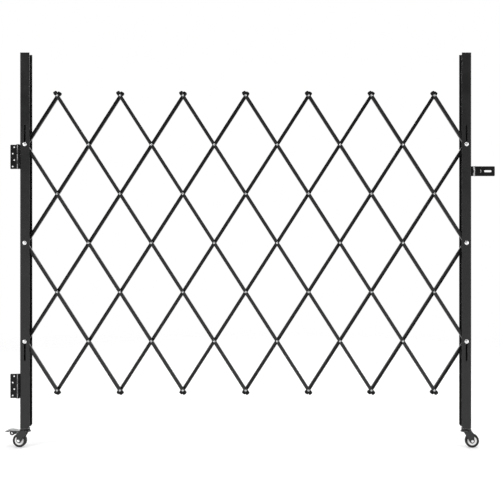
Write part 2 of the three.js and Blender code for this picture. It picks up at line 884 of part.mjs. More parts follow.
// One caster; turn says which way its wheel trails
function caster(name, axis, turn, hasBrake) {
  const group = new THREE.Group();
  group.position.set(axis, 0, 0);
  const fixed = new THREE.Group();
  fixed.add(
    meshOf(`caster_stem_${name}`, stemSolid(), zincSteel()),
    meshOf(`caster_nut_${name}`, stemNutSolid(), zincSteel()),
  );
  const swivel = new THREE.Group();
  swivel.rotation.z = turn;
  const wheel = new THREE.Group();
  wheel.position.set(swivelOffset, 0, wheelRadius);
  wheel.add(
    meshOf(`caster_tyre_${name}`, tyreSolid(), blackRubber()),
    meshOf(`caster_core_${name}`, coreSolid(), paleCore()),
    meshOf(`caster_axle_${name}`, axleSolid(), zincSteel()),
  );
  swivel.add(meshOf(`caster_fork_${name}`, forkSolid(hasBrake), greyPaint()), wheel);
  if (hasBrake) {
    const pin = meshOf('brake_pin', brakePinSolid(), zincSteel());
    pin.position.set(brakePivotReach, 0, brakePivotHeight);
    swivel.add(meshOf('brake_pedal', pedalSolid(), zincSteel()), pin);
  }
  group.add(fixed, swivel);
  return group;
}

// The gate

function post(name, axis, turn) {
  const group = new THREE.Group();
  group.position.set(axis, 0, postFloorGap);
  group.rotation.z = turn;
  group.add(
    meshOf(`post_${name}`, postSolid(), blackPaint()),
    meshOf(`foot_plate_${name}`, footPlateSolid(), blackPaint()),
  );
  return group;
}

function pivotBolts() {
  const group = new THREE.Group();
  const rows = { top: slidingRow, middle: latticeRows / 2, bottom: latticeRows - slidingRow };
  const columns = { left: 0, right: latticeColumns };
  for (const [side, column] of Object.entries(columns)) {
    for (const [level, row] of Object.entries(rows)) {
      const bolt = meshOf(`pivot_bolt_${side}_${level}`, pivotBoltSolid(), zincSteel());
      bolt.position.set(...pivotPlace(column, row));
      group.add(bolt);
    }
  }
  return group;
}

const gate = new THREE.Group();
gate.add(
  latticeBars(),
  post('left', -postAxis, 0),
  post('right', postAxis, Math.PI),
  pivotBolts(),
  hinge('upper', upperHingeRise),
  hinge('lower', lowerHingeRise),
  hasp(),
  caster('left', -postAxis, Math.PI - casterYaw, true),
  caster('right', postAxis, -casterYaw, false),
);

// The origin is the floor point under the middle of the whole gate
const box = new THREE.Box3().setFromObject(gate, true);
const centre = box.getCenter(new THREE.Vector3());
gate.position.set(-centre.x, -centre.y, -box.min.z);

export default gate;
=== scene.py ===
"""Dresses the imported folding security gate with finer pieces, finishes, lights and a camera."""

import json
import logging
import math
from dataclasses import dataclass, field
from enum import Enum
from typing import Iterable, Optional, Sequence

import bmesh
import bpy
from mathutils import Matrix, Vector


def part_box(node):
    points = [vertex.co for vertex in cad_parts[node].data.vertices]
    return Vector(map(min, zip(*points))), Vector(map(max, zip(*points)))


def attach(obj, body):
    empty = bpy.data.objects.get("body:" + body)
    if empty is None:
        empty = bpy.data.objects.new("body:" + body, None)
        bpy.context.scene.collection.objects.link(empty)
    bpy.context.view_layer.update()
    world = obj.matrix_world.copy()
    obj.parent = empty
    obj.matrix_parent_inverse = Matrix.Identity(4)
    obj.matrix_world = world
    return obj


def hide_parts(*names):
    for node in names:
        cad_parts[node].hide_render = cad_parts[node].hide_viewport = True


LOG = logging.getLogger("gate")
# Face layer of marks for edges where the coat wears through, and for painted highlight lines
WEAR_AND_HIGHLIGHT_LAYER = "edge"

# In millimetres: corners closer together than WELD_REACH are one corner, and CLEAN_REACH after rounding
WELD_REACH = 0.002
CLEAN_REACH = 0.004
CUT_REACH = 0.0005
# In degrees: faces that turn by less are one face, and shading breaks where they turn by more
FLAT_TURN = 0.5
SHADE_TURN = 38.0
HEXAGON = 6
MILLIMETRE = 0.001
# The corner of a slot's round end is a hair smaller than half its width, so that two never meet
ROUND_END = 0.999
# Share of the full strength of a painted highlight line that is fainter
FAINT_HIGHLIGHT = 0.6

# How the masks are drawn from their noise
CLOUD_LAYERS, GRAIN_LAYERS = 5.0, 2.0
CLOUD_SPAN = (0.3, 0.7)
WEAR_SPAN = (0.65, 0.82)
WEAR_PULL = 0.2
WEAR_SCALE = 160.0
SPECK_RATIO = 23.0
GLOSS_SPAN = (0.2, 1.8)
BUMP_STRENGTH = 0.5

Point = tuple[float, float]
Rounds = dict[int, tuple[float, int]]


class Plane(Enum):
    """The plane that an outline is drawn in, with the axis that it is then pushed along."""

    FRONT = "XZ"
    FLOOR = "XY"
    SIDE = "YZ"

    def lift(self, point: Point, depth: float) -> Vector:
        """Puts a point of the outline in space.

        Args:
            point: The two values of the point in this plane.
            depth: Its place along the axis that the plane faces.

        Returns:
            The point in space.
        """
        first, second = point
        if self is Plane.FRONT:
            return Vector((first, depth, second))
        if self is Plane.FLOOR:
            return Vector((first, second, depth))
        return Vector((depth, first, second))

    def normal(self) -> Vector:
        """The axis that the plane faces."""
        return self.lift((0.0, 0.0), 1.0)


class Axis(Enum):
    """The axis that a turned shape goes round."""

    ALONG_Y = "Y"
    ALONG_Z = "Z"

    def vector(self) -> Vector:
        """The axis as a direction."""
        return Vector((0.0, 1.0, 0.0)) if self is Axis.ALONG_Y else Vector((0.0, 0.0, 1.0))

    def point(self, radius: float, place: float) -> Vector:
        """A point at that radius and at that place along the axis."""
        return Vector((radius, place, 0.0)) if self is Axis.ALONG_Y else Vector((radius, 0.0, place))


class Wiring:
    """Adds and joins the nodes of one material or node group."""

    def __init__(self, tree: bpy.types.NodeTree) -> None:
        """Keeps the tree.

        Args:
            tree: The node tree that is built.
        """
        self.tree = tree

    def add(self, kind: str, **values: object) -> bpy.types.Node:
        """Adds one node and sets its properties.

        Args:
            kind: The type name of the node, without its common prefix.
            **values: Properties of the node.

        Returns:
            The node.
        """
        node = self.tree.nodes.new(f"ShaderNode{kind}")
        for name, value in values.items():
            setattr(node, name, value)
        return node

    def join(self, source: bpy.types.NodeSocket, target: bpy.types.NodeSocket) -> None:
        """Links one socket to another."""
        self.tree.links.new(source, target)

    def span(
        self, value: bpy.types.NodeSocket, low: float, high: float, bottom: float, top: float
    ) -> bpy.types.NodeSocket:
        """Maps a value from one range to another and keeps it there.

        Args:
            value: The socket with the value.
            low: The value that becomes bottom.
            high: The value that becomes top.
            bottom: The first result.
            top: The last result.

        Returns:
            The mapped value.
        """
        node = self.add("MapRange", interpolation_type="SMOOTHSTEP")
        for name, number in (("From Min", low), ("From Max", high), ("To Min", bottom), ("To Max", top)):
            node.inputs[name].default_value = number
        self.join(value, node.inputs["Value"])
        return node.outputs["Result"]

    def maths(
        self, operation: str, first: bpy.types.NodeSocket, second: bpy.types.NodeSocket | float
    ) -> bpy.types.NodeSocket:
        """Adds a sum of two values.

        Args:
            operation: The name of the operation.
            first: The first value.
            second: The second value, as a socket or a number.

        Returns:
            The result.
        """
        node = self.add("Math", operation=operation)
        self.join(first, node.inputs[0])
        if isinstance(second, (int, float)):
            node.inputs[1].default_value = second
        else:
            self.join(second, node.inputs[1])
        return node.outputs[0]

    def blend(
        self,
        share: bpy.types.NodeSocket,
        first: bpy.types.NodeSocket | Sequence[float],
        second: bpy.types.NodeSocket | Sequence[float],
    ) -> bpy.types.NodeSocket:
        """Blends two colours.

        Args:
            share: How much of the second colour shows.
            first: The first colour.
            second: The second colour.

        Returns:
            The blended colour.
        """
        node = self.add("Mix", data_type="RGBA")
        self.join(share, node.inputs["Factor"])
        for source, socket in ((first, node.inputs[6]), (second, node.inputs[7])):
            if isinstance(source, bpy.types.NodeSocket):
                self.join(source, socket)
            else:
                socket.default_value = (*source, 1.0)
        return node.outputs[2]


class Effect(Enum):
    """Effects that several finishes share, each a node group that is built once."""

    # Marks edges where the coat wears through, and paints highlight lines on barrels and ribs
    EDGE_WEAR_AND_HIGHLIGHT = "edge wear"
    MOTTLE = "mottle"
    COAT_GRAIN = "coat grain"

    def group(self) -> bpy.types.NodeTree:
        """The node group of this effect, which is built at its first use."""
        known = bpy.data.node_groups.get(self.value)
        return known or self._build()

    def _build(self) -> bpy.types.NodeTree:
        """Builds the node group.

        Returns:
            The new group.
        """
        tree = bpy.data.node_groups.new(self.value, "ShaderNodeTree")
        wiring = Wiring(tree)
        face = tree.interface
        scale = face.new_socket(name="Scale", in_out="INPUT", socket_type="NodeSocketFloat")
        amount = face.new_socket(name="Amount", in_out="INPUT", socket_type="NodeSocketFloat")
        scale.default_value, amount.default_value = 100.0, 1.0
        face.new_socket(name="Mask", in_out="OUTPUT", socket_type="NodeSocketFloat")
        enter = tree.nodes.new("NodeGroupInput")
        leave = tree.nodes.new("NodeGroupOutput")
        where = wiring.add("TexCoord").outputs["Object"]
        noise = wiring.add("TexNoise")
        noise.inputs["Detail"].default_value = GRAIN_LAYERS if self is Effect.COAT_GRAIN else CLOUD_LAYERS
        wiring.join(where, noise.inputs["Vector"])
        wiring.join(enter.outputs["Scale"], noise.inputs["Scale"])
        value = noise.outputs["Fac"]
        # The mark layer holds the rounded edges and the painted highlight lines
        if self is Effect.EDGE_WEAR_AND_HIGHLIGHT:
            edge = wiring.add("Attribute", attribute_name=WEAR_AND_HIGHLIGHT_LAYER, attribute_type="GEOMETRY")
            raised = wiring.maths("ADD", value, wiring.maths("MULTIPLY", edge.outputs["Fac"], WEAR_PULL))
            value = wiring.maths("MULTIPLY", edge.outputs["Fac"], wiring.span(raised, *WEAR_SPAN, 0.0, 1.0))
        elif self is Effect.MOTTLE:
            value = wiring.span(value, *CLOUD_SPAN, 0.0, 1.0)
        value = wiring.maths("MULTIPLY", value, enter.outputs["Amount"])
        wiring.join(value, leave.inputs["Mask"])
        return tree

    def place(self, wiring: Wiring, scale: float, amount: float = 1.0) -> bpy.types.NodeSocket:
        """Places the effect in a material.

        Args:
            wiring: The nodes of the material.
            scale: How many waves there are in a metre.
            amount: The highest value of the mask.

        Returns:
            The mask of the effect.
        """
        node = wiring.add("Group", node_tree=self.group())
        node.inputs["Scale"].default_value = scale
        node.inputs["Amount"].default_value = amount
        return node.outputs["Mask"]


@dataclass(frozen=True)
class Finish:
    """A paint, plating, rubber or plastic, with the detail that the real one shows.

    Attributes:
        name: The name of the material.
        slot: The record's material slot that it belongs to.
        colour: Its main colour.
        shade: The colour of its darker or lighter clouds.
        worn_and_highlit: The colour of its edges where the coat wears through, and of its painted highlight
            lines.
        metallic: How much it is bare metal.
        roughness: Its lowest and highest roughness.
        specular: The specular level of its surface.
        cloud: Waves in a metre of its clouds.
        grain: Waves in a metre of its grain.
        grain_depth: Height of the grain, in metres.
        wear_and_highlight: How much of its edges shows through the coat, and how strongly its painted
            highlight lines show.
    """

    name: str
    slot: str
    colour: tuple[float, float, float]
    shade: tuple[float, float, float]
    worn_and_highlit: tuple[float, float, float]
    metallic: float = 0.0
    roughness: tuple[float, float] = (0.4, 0.55)
    specular: float = 0.5
    cloud: float = 14.0
    grain: float = 900.0
    grain_depth: float = 0.00004
    wear_and_highlight: float = 0.5

    def material(self) -> bpy.types.Material:
        """The material of this finish, which is made at its first use.

        Returns:
            The material.
        """
        known = bpy.data.materials.get(self.name)
        if known is not None:
            return known
        made = bpy.data.materials.new(self.name)
        made.use_nodes = True
        tree = made.node_tree
        tree.nodes.clear()
        wiring = Wiring(tree)
        skin = wiring.add("BsdfPrincipled")
        output = wiring.add("OutputMaterial")
        wiring.join(skin.outputs["BSDF"], output.inputs["Surface"])
        skin.inputs["Metallic"].default_value = self.metallic
        skin.inputs["Specular IOR Level"].default_value = self.specular
        clouds = Effect.MOTTLE.place(wiring, self.cloud)
        specks = Effect.MOTTLE.place(wiring, self.cloud * SPECK_RATIO)
        colour = wiring.blend(clouds, self.colour, self.shade)
        low, high = self.roughness
        rough = wiring.span(wiring.maths("ADD", clouds, specks), *GLOSS_SPAN, low, high)
        # Mask of edges where the coat wears through, and of the painted highlight lines, which take the pale
        # colour
        worn_and_highlit = Effect.EDGE_WEAR_AND_HIGHLIGHT.place(wiring, WEAR_SCALE, self.wear_and_highlight)
        colour = wiring.blend(worn_and_highlit, colour, self.worn_and_highlit)
        wiring.join(colour, skin.inputs["Base Color"])
        wiring.join(rough, skin.inputs["Roughness"])
        bump = wiring.add("Bump")
        bump.inputs["Strength"].default_value = BUMP_STRENGTH
        bump.inputs["Distance"].default_value = self.grain_depth
        wiring.join(Effect.COAT_GRAIN.place(wiring, self.grain), bump.inputs["Height"])
        wiring.join(bump.outputs["Normal"], skin.inputs["Normal"])
        return made


POST_COAT = Finish(
    name="satin_black_powder_coat",
    slot="black_paint",
    colour=(0.0095, 0.0095, 0.0098),
    shade=(0.0125, 0.0125, 0.0128),
    worn_and_highlit=(0.04, 0.04, 0.04),
    roughness=(0.28, 0.38),
    specular=0.4,
)
BAR_COAT = Finish(
    name="lattice_black_powder_coat",
    slot="black_paint",
    colour=(0.0095, 0.0095, 0.0098),
    shade=(0.013, 0.013, 0.0133),
    worn_and_highlit=(0.045, 0.045, 0.045),
    roughness=(0.3, 0.4),
    specular=0.42,
    grain=1100.0,
)
# Its pale colour for marked faces also paints the highlight lines on the hinge and hasp barrels and the hasp
# rib
FITTING_COAT = Finish(
    name="fitting_black_enamel",
    slot="black_paint",
    colour=(0.0035, 0.0035, 0.0038),
    shade=(0.006, 0.006, 0.0063),
    worn_and_highlit=(0.5, 0.5, 0.5),
    roughness=(0.3, 0.44),
    specular=0.2,
    cloud=40.0,
    wear_and_highlight=0.45,
)
FORK_PAINT = Finish(
    name="dark_grey_fork_paint",
    slot="dark_steel",
    colour=(0.016, 0.0165, 0.017),
    shade=(0.026, 0.0265, 0.027),
    worn_and_highlit=(0.16, 0.16, 0.16),
    roughness=(0.34, 0.48),
    specular=0.4,
    cloud=60.0,
    wear_and_highlight=0.6,
)
ZINC = Finish(
    name="bright_zinc_plate",
    slot="zinc",
    colour=(0.62, 0.625, 0.635),
    shade=(0.5, 0.505, 0.51),
    worn_and_highlit=(0.72, 0.72, 0.72),
    metallic=1.0,
    roughness=(0.24, 0.38),
    cloud=130.0,
    grain=2500.0,
    grain_depth=0.00001,
    wear_and_highlight=0.4,
)
RUBBER = Finish(
    name="matt_black_tyre_rubber",
    slot="tyre",
    colour=(0.014, 0.014, 0.014),
    shade=(0.024, 0.0235, 0.023),
    worn_and_highlit=(0.06, 0.058, 0.055),
    roughness=(0.62, 0.82),
    specular=0.35,
    cloud=90.0,
    grain=1800.0,
    grain_depth=0.00006,
    wear_and_highlight=0.5,
)
CAP_PLASTIC = Finish(
    name="black_moulded_cap",
    slot="black_paint",
    colour=(0.0035, 0.0035, 0.0036),
    shade=(0.005, 0.005, 0.0052),
    worn_and_highlit=(0.02, 0.02, 0.02),
    roughness=(0.5, 0.64),
    specular=0.22,
    cloud=60.0,
    grain=1600.0,
    wear_and_highlight=0.35,
)
# A darker copy of the zinc plate: painted shade on the caster stems, their nuts and the pedal pin
SHADED_ZINC = Finish(
    name="shaded_zinc_plate",
    slot="zinc",
    colour=(0.2, 0.202, 0.206),
    shade=(0.12, 0.121, 0.124),
    worn_and_highlit=(0.42, 0.42, 0.42),
    metallic=1.0,
    roughness=(0.42, 0.58),
    cloud=110.0,
    grain=2000.0,
    grain_depth=0.00002,
    wear_and_highlight=0.4,
)
# A paler copy of the zinc plate: painted highlight on the bolts and the axles
LIT_ZINC = Finish(
    name="lit_satin_zinc_plate",
    slot="zinc",
    colour=(0.93, 0.93, 0.935),
    shade=(0.84, 0.84, 0.845),
    worn_and_highlit=(0.95, 0.95, 0.95),
    metallic=1.0,
    roughness=(0.34, 0.46),
    cloud=160.0,
    grain=2600.0,
    grain_depth=0.00001,
    wear_and_highlight=0.4,
)
# A darker copy of the zinc plate: painted shade on the pedal's tread and ridges
SHADED_TREAD_ZINC = Finish(
    name="shaded_zinc_tread",
    slot="zinc",
    colour=(0.44, 0.443, 0.45),
    shade=(0.33, 0.333, 0.34),
    worn_and_highlit=(0.62, 0.62, 0.62),
    metallic=1.0,
    roughness=(0.34, 0.48),
    cloud=90.0,
    grain=2200.0,
    grain_depth=0.00001,
    wear_and_highlight=0.4,
)
CORE_PLASTIC = Finish(
    name="white_moulded_plastic",
    slot="core",
    colour=(0.93, 0.93, 0.925),
    shade=(0.89, 0.89, 0.88),
    worn_and_highlit=(0.8, 0.8, 0.79),
    roughness=(0.38, 0.5),
    cloud=70.0,
    grain=1500.0,
    grain_depth=0.00002,
    wear_and_highlight=0.3,
)


class Workpiece:
    """One mesh in the making, in millimetres, that ends as a piece of the gate."""

    def __init__(self, name: str) -> None:
        """Starts with nothing.

        Args:
            name: The name of the piece.
        """
        self.name = name
        self.bm = bmesh.new()

    def _new_since(self, before: set[bmesh.types.BMVert]) -> list[bmesh.types.BMVert]:
        """The vertices that weren't there before."""
        return [vertex for vertex in self.bm.verts if vertex not in before]

    def _arrange(self) -> None:
        """Puts corners, edges and faces in an order that their places alone decide, the same in each run."""
        for items, place in (
            (self.bm.verts, lambda item: tuple(item.co)),
            (self.bm.edges, lambda item: sorted(vertex.index for vertex in item.verts)),
            (self.bm.faces, lambda item: sorted(vertex.index for vertex in item.verts)),
        ):
            items.index_update()
            rank = {item.index: number for number, item in enumerate(sorted(items, key=place))}
            items.sort(key=lambda item: rank[item.index])
            items.index_update()

    def slab(
        self, plane: Plane, points: Sequence[Point], low: float, high: float, rounds: Optional[Rounds] = None
    ) -> list[bmesh.types.BMVert]:
        """Pushes an outline through a depth, with some of its corners rounded.

        Args:
            plane: The plane that the outline is drawn in.
            points: The corners of the outline, in order.
            low: Where it begins along the plane's axis.
            high: Where it ends.
            rounds: Radius and number of segments for the corners that are rounded, by their place in points.

        Returns:
            The new vertices.
        """
        before = set(self.bm.verts)
        corners = [self.bm.verts.new(plane.lift(point, low)) for point in points]
        self.bm.faces.new(corners)
        for index, (radius, segments) in (rounds or {}).items():
            bmesh.ops.bevel(
                self.bm,
                geom=[corners[index]],
                offset=radius,
                offset_type="OFFSET",
                segments=segments,
                profile=0.5,
                affect="VERTICES",
                material=-1,
            )
        flat = dict.fromkeys(face for vertex in self._new_since(before) for face in vertex.link_faces)
        grown = bmesh.ops.extrude_face_region(self.bm, geom=list(flat), use_keep_orig=True)
        moved = [item for item in grown["geom"] if isinstance(item, bmesh.types.BMVert)]
        bmesh.ops.translate(self.bm, verts=moved, vec=plane.normal() * (high - low))
        fresh = self._new_since(before)
        self._turn_outwards(fresh)
        return fresh

    def _turn_outwards(self, vertices: Iterable[bmesh.types.BMVert]) -> None:
        """Makes the faces on these vertices point outwards."""
        faces = dict.fromkeys(face for vertex in vertices for face in vertex.link_faces)
        bmesh.ops.recalc_face_normals(self.bm, faces=list(faces))

    def turned(
        self, axis: Axis, profile: Sequence[Point], steps: int, centre: Vector = Vector()
    ) -> list[bmesh.types.BMVert]:
        """Turns a profile into a closed round shape.

        Args:
            axis: The axis that it goes round.
            profile: Pairs of radius and place along the axis.
            steps: The number of sides.
            centre: A point on the axis.

        Returns:
            The new vertices.
        """
        before = set(self.bm.verts)
        points = [self.bm.verts.new(centre + axis.point(radius, place)) for radius, place in profile]
        edges = [self.bm.edges.new(pair) for pair in zip(points, points[1:])]
        bmesh.ops.spin(
            self.bm,
            geom=[*points, *edges],
            cent=centre,
            axis=axis.vector(),
            angle=2 * math.pi,
            steps=steps,
            use_merge=True,
        )
        bmesh.ops.remove_doubles(self.bm, verts=self._new_since(before), dist=WELD_REACH)
        fresh = self._new_since(before)
        self._turn_outwards(fresh)
        return fresh

    def bar(self, radius: float, start: Vector, end: Vector, sides: int) -> list[bmesh.types.BMVert]:
        """Adds a round bar between two points.

        Args:
            radius: Its radius.
            start: The middle of its first end.
            end: The middle of its last end.
            sides: The number of its sides.

        Returns:
            The new vertices.
        """
        run = end - start
        place = Matrix.Translation((start + end) / 2) @ run.to_track_quat("Z", "Y").to_matrix().to_4x4()
        made = bmesh.ops.create_cone(
            self.bm,
            cap_ends=True,
            cap_tris=False,
            segments=sides,
            radius1=radius,
            radius2=radius,
            depth=run.length,
            matrix=place,
        )
        return made["verts"]

    def trim(self, at: Vector, facing: Vector) -> None:
        """Cuts off what lies beyond a plane and closes the cut.

        Args:
            at: A point of the plane.
            facing: The direction that is cut away.
        """
        self._arrange()
        everything = [*self.bm.verts, *self.bm.edges, *self.bm.faces]
        done = bmesh.ops.bisect_plane(
            self.bm, geom=everything, dist=CUT_REACH, plane_co=at, plane_no=facing, clear_outer=True
        )
        rim = [item for item in done["geom_cut"] if isinstance(item, bmesh.types.BMEdge)]
        open_rim = [edge for edge in rim if edge.is_valid and edge.is_boundary]
        if open_rim:
            bmesh.ops.holes_fill(self.bm, edges=open_rim, sides=0)
        self._turn_outwards(self.bm.verts)

    def move(self, vertices: Sequence[bmesh.types.BMVert], place: Matrix) -> None:
        """Moves or turns some vertices."""
        bmesh.ops.transform(self.bm, matrix=place, verts=list(vertices))

    def shape(self, other: "Workpiece", operation: str = "DIFFERENCE") -> None:
        """Cuts this piece with another, joins them or keeps what they share.

        Args:
            other: The other shape, which is used up.
            operation: The name of the operation.
        """
        pair = []
        for work in (self, other):
            work._arrange()
            mesh = bpy.data.meshes.new("work")
            work.bm.to_mesh(mesh)
            work.bm.free()
            thing = bpy.data.objects.new("work", mesh)
            bpy.context.collection.objects.link(thing)
            pair.append(thing)
        target, tool = pair
        step = target.modifiers.new("shape", "BOOLEAN")
        step.operation = operation
        step.object = tool
        step.solver = "EXACT"
        step.use_self = True
        bpy.context.view_layer.update()
        seen = target.evaluated_get(bpy.context.evaluated_depsgraph_get())
        result = bpy.data.meshes.new_from_object(seen)
        self.bm = bmesh.new()
        self.bm.from_mesh(result)
        for thing in pair:
            mesh = thing.data
            bpy.data.objects.remove(thing)
            bpy.data.meshes.remove(mesh)
        bpy.data.meshes.remove(result)
        bmesh.ops.remove_doubles(self.bm, verts=self.bm.verts, dist=WELD_REACH)
        bmesh.ops.dissolve_limit(
            self.bm, angle_limit=math.radians(FLAT_TURN), verts=self.bm.verts, edges=self.bm.edges
        )

    def clean(self, reach: float) -> None:
        """Joins corners that lie close together, and closes the faces that this opens.

        Args:
            reach: How close together they lie.
        """
        bmesh.ops.remove_doubles(self.bm, verts=self.bm.verts, dist=reach)
        bmesh.ops.dissolve_degenerate(self.bm, dist=reach / 2, edges=self.bm.edges)
        loose = [edge for edge in self.bm.edges if edge.is_wire]
        bmesh.ops.delete(self.bm, geom=loose, context="EDGES")
        rims = [edge for edge in self.bm.edges if edge.is_boundary]
        if rims:
            bmesh.ops.holes_fill(self.bm, edges=rims)
            bmesh.ops.recalc_face_normals(self.bm, faces=self.bm.faces)

    def soften(self, width: float, segments: int = 2, limit: float = 35.0, clamp: bool = True) -> None:
        """Rounds the sharp edges and marks the rounded faces as edges for the finish.

        Args:
            width: Width of the rounding.
            segments: Its number of segments.
            limit: The angle, in degrees, past which an edge is sharp.
            clamp: Whether the shortest edge of the piece limits the rounding everywhere.
        """
        mark = self.bm.faces.layers.float.new(WEAR_AND_HIGHLIGHT_LAYER)
        self._arrange()
        sharp = [
            edge
            for edge in self.bm.edges
            if len(edge.link_faces) == 2 and edge.calc_face_angle(0.0) > math.radians(limit)
        ]
        done = bmesh.ops.bevel(
            self.bm,
            geom=sharp,
            offset=width,
            offset_type="OFFSET",
            segments=segments,
            profile=0.5,
            affect="EDGES",
            clamp_overlap=clamp,
            material=-1,
        )
        for face in done["faces"]:
            face[mark] = 1.0
        self._arrange()
        self.clean(CLEAN_REACH)

    def settle(
        self, place: Matrix, finish: Finish, body: str, replaced: Sequence[str] = ()
    ) -> bpy.types.Object:
        """Ends the making: puts the mesh in its place and gives it its finish and its body.

        Args:
            place: From the piece's own frame to the gate's frame, in millimetres.
            finish: The finish of the piece.
            body: The body that it rides on.
            replaced: The CAD nodes that it stands for.

        Returns:
            The finished object.
        """
        self._arrange()
        bmesh.ops.transform(self.bm, matrix=Gate.to_row() @ place, verts=self.bm.verts)
        mesh = bpy.data.meshes.new(self.name)
        self.bm.to_mesh(mesh)
        self.bm.free()
        mesh.shade_smooth()
        mesh.set_sharp_from_angle(angle=math.radians(SHADE_TURN))
        made = bpy.data.objects.new(self.name, mesh)
        bpy.context.collection.objects.link(made)
        made.data.materials.append(finish.material())
        weigh = made.modifiers.new("shading", "WEIGHTED_NORMAL")
        weigh.keep_sharp = True
        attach(made, body)
        if replaced:
            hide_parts(*replaced)
        stands_for = list(replaced) or "nothing"
        LOG.info("%s on %s: %d faces, for %s", self.name, body, len(mesh.polygons), stands_for)
        return made


class Gate:
    """Where the gate's own frame lies in the row frame, and the sizes that its sub-assemblies share."""

    span = 1616.8
    post_length = 1376.0
    foot_margin = 137.9
    top_margin = 155.0
    folded_angle = math.radians(4.0)
    columns = 14
    rows = 6
    post_width = 35.0
    post_depth = 40.0
    floor_gap = 72.0
    column_pitch = span / columns
    row_pitch = (post_length - foot_margin - top_margin) / rows
    pivot_pitch = math.hypot(column_pitch, row_pitch)
    open_angle = math.atan2(column_pitch, row_pitch)
    post_axis = span / 2
    middle_rise = foot_margin + row_pitch * rows / 2
    middle_height = floor_gap + middle_rise
    _shift = Vector()

    @classmethod
    def find(cls) -> None:
        """Finds the middle between the posts in the row frame."""
        left_low, left_high = (Vector(corner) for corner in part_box("post_left"))
        right_low, right_high = (Vector(corner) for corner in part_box("post_right"))
        cls._shift = Vector(((left_low.x + right_high.x) / 2, (left_low.y + left_high.y) / 2, 0.0))
        apart = right_low.x - left_high.x
        LOG.info("middle of the gate at %.6f, %.6f; posts %.4f apart", *cls._shift.xy, apart)

    @classmethod
    def to_row(cls) -> Matrix:
        """From the gate's frame in millimetres to the row frame in metres."""
        return Matrix.Translation(cls._shift) @ Matrix.Scale(MILLIMETRE, 4)

    @classmethod
    def pivot(cls, column: int, row: int) -> Vector:
        """The place of a crossing of the lattice.

        Args:
            column: Its column, from the left post.
            row: Its row, from the top.

        Returns:
            The place, in the gate's frame.
        """
        x = column * cls.column_pitch - cls.post_axis
        return Vector((x, 0.0, cls.middle_height + (cls.rows / 2 - row) * cls.row_pitch))


def rolled_rim(radius: float, height: float, steps: int) -> list[Point]:
    """A quarter round from the outer radius up to the middle of a head.

    Args:
        radius: The radius of the head.
        height: The height of its dome.
        steps: The number of its segments.

    Returns:
        Pairs of radius and height, from the rim to the middle.
    """
    turns = [math.pi / 2 * step / steps for step in range(steps + 1)]
    return [(radius * math.cos(turn), height * math.sin(turn)) for turn in turns]


def domed_head(radius: float, height: float, face: float, steps: int, root: Point) -> list[Point]:
    """The profile of a domed head on a face that looks towards minus Y.

    Args:
        radius: The radius of the head.
        height: The height of its dome.
        face: Where the face lies.
        steps: The number of segments of the dome.
        root: The radius of its root and how deep it goes into the face.

    Returns:
        Pairs of radius and place, from the middle of the dome to the middle of the root.
    """
    dome = [(reach, face - rise) for reach, rise in rolled_rim(radius, height, steps)]
    return [*reversed(dome), (root[0], face + root[1]), (0.0, face + root[1])]


def arc(centre: Point, radius: float, start: float, end: float, steps: int) -> list[Point]:
    """Points along an arc.

    Args:
        centre: The middle of the arc.
        radius: Its radius.
        start: The angle of its first point, in degrees.
        end: The angle of its last point.
        steps: The number of its segments.

    Returns:
        The points.
    """
    turns = [math.radians(start + (end - start) * step / steps) for step in range(steps + 1)]
    return [(centre[0] + radius * math.cos(turn), centre[1] + radius * math.sin(turn)) for turn in turns]


def curve(start: Point, control: Point, end: Point, steps: int) -> list[Point]:
    """Points along a curve that leaves and arrives in the direction of one control point.

    Args:
        start: The first point.
        control: The control point.
        end: The last point.
        steps: The number of segments.

    Returns:
        The points.
    """
    points = []
    for step in range(steps + 1):
        share = step / steps
        rest = 1.0 - share
        weights = (rest * rest, 2.0 * rest * share, share * share)
        trio = (start, control, end)
        points.append((
            sum(weight * point[0] for weight, point in zip(weights, trio)),
            sum(weight * point[1] for weight, point in zip(weights, trio)),
        ))
    return points


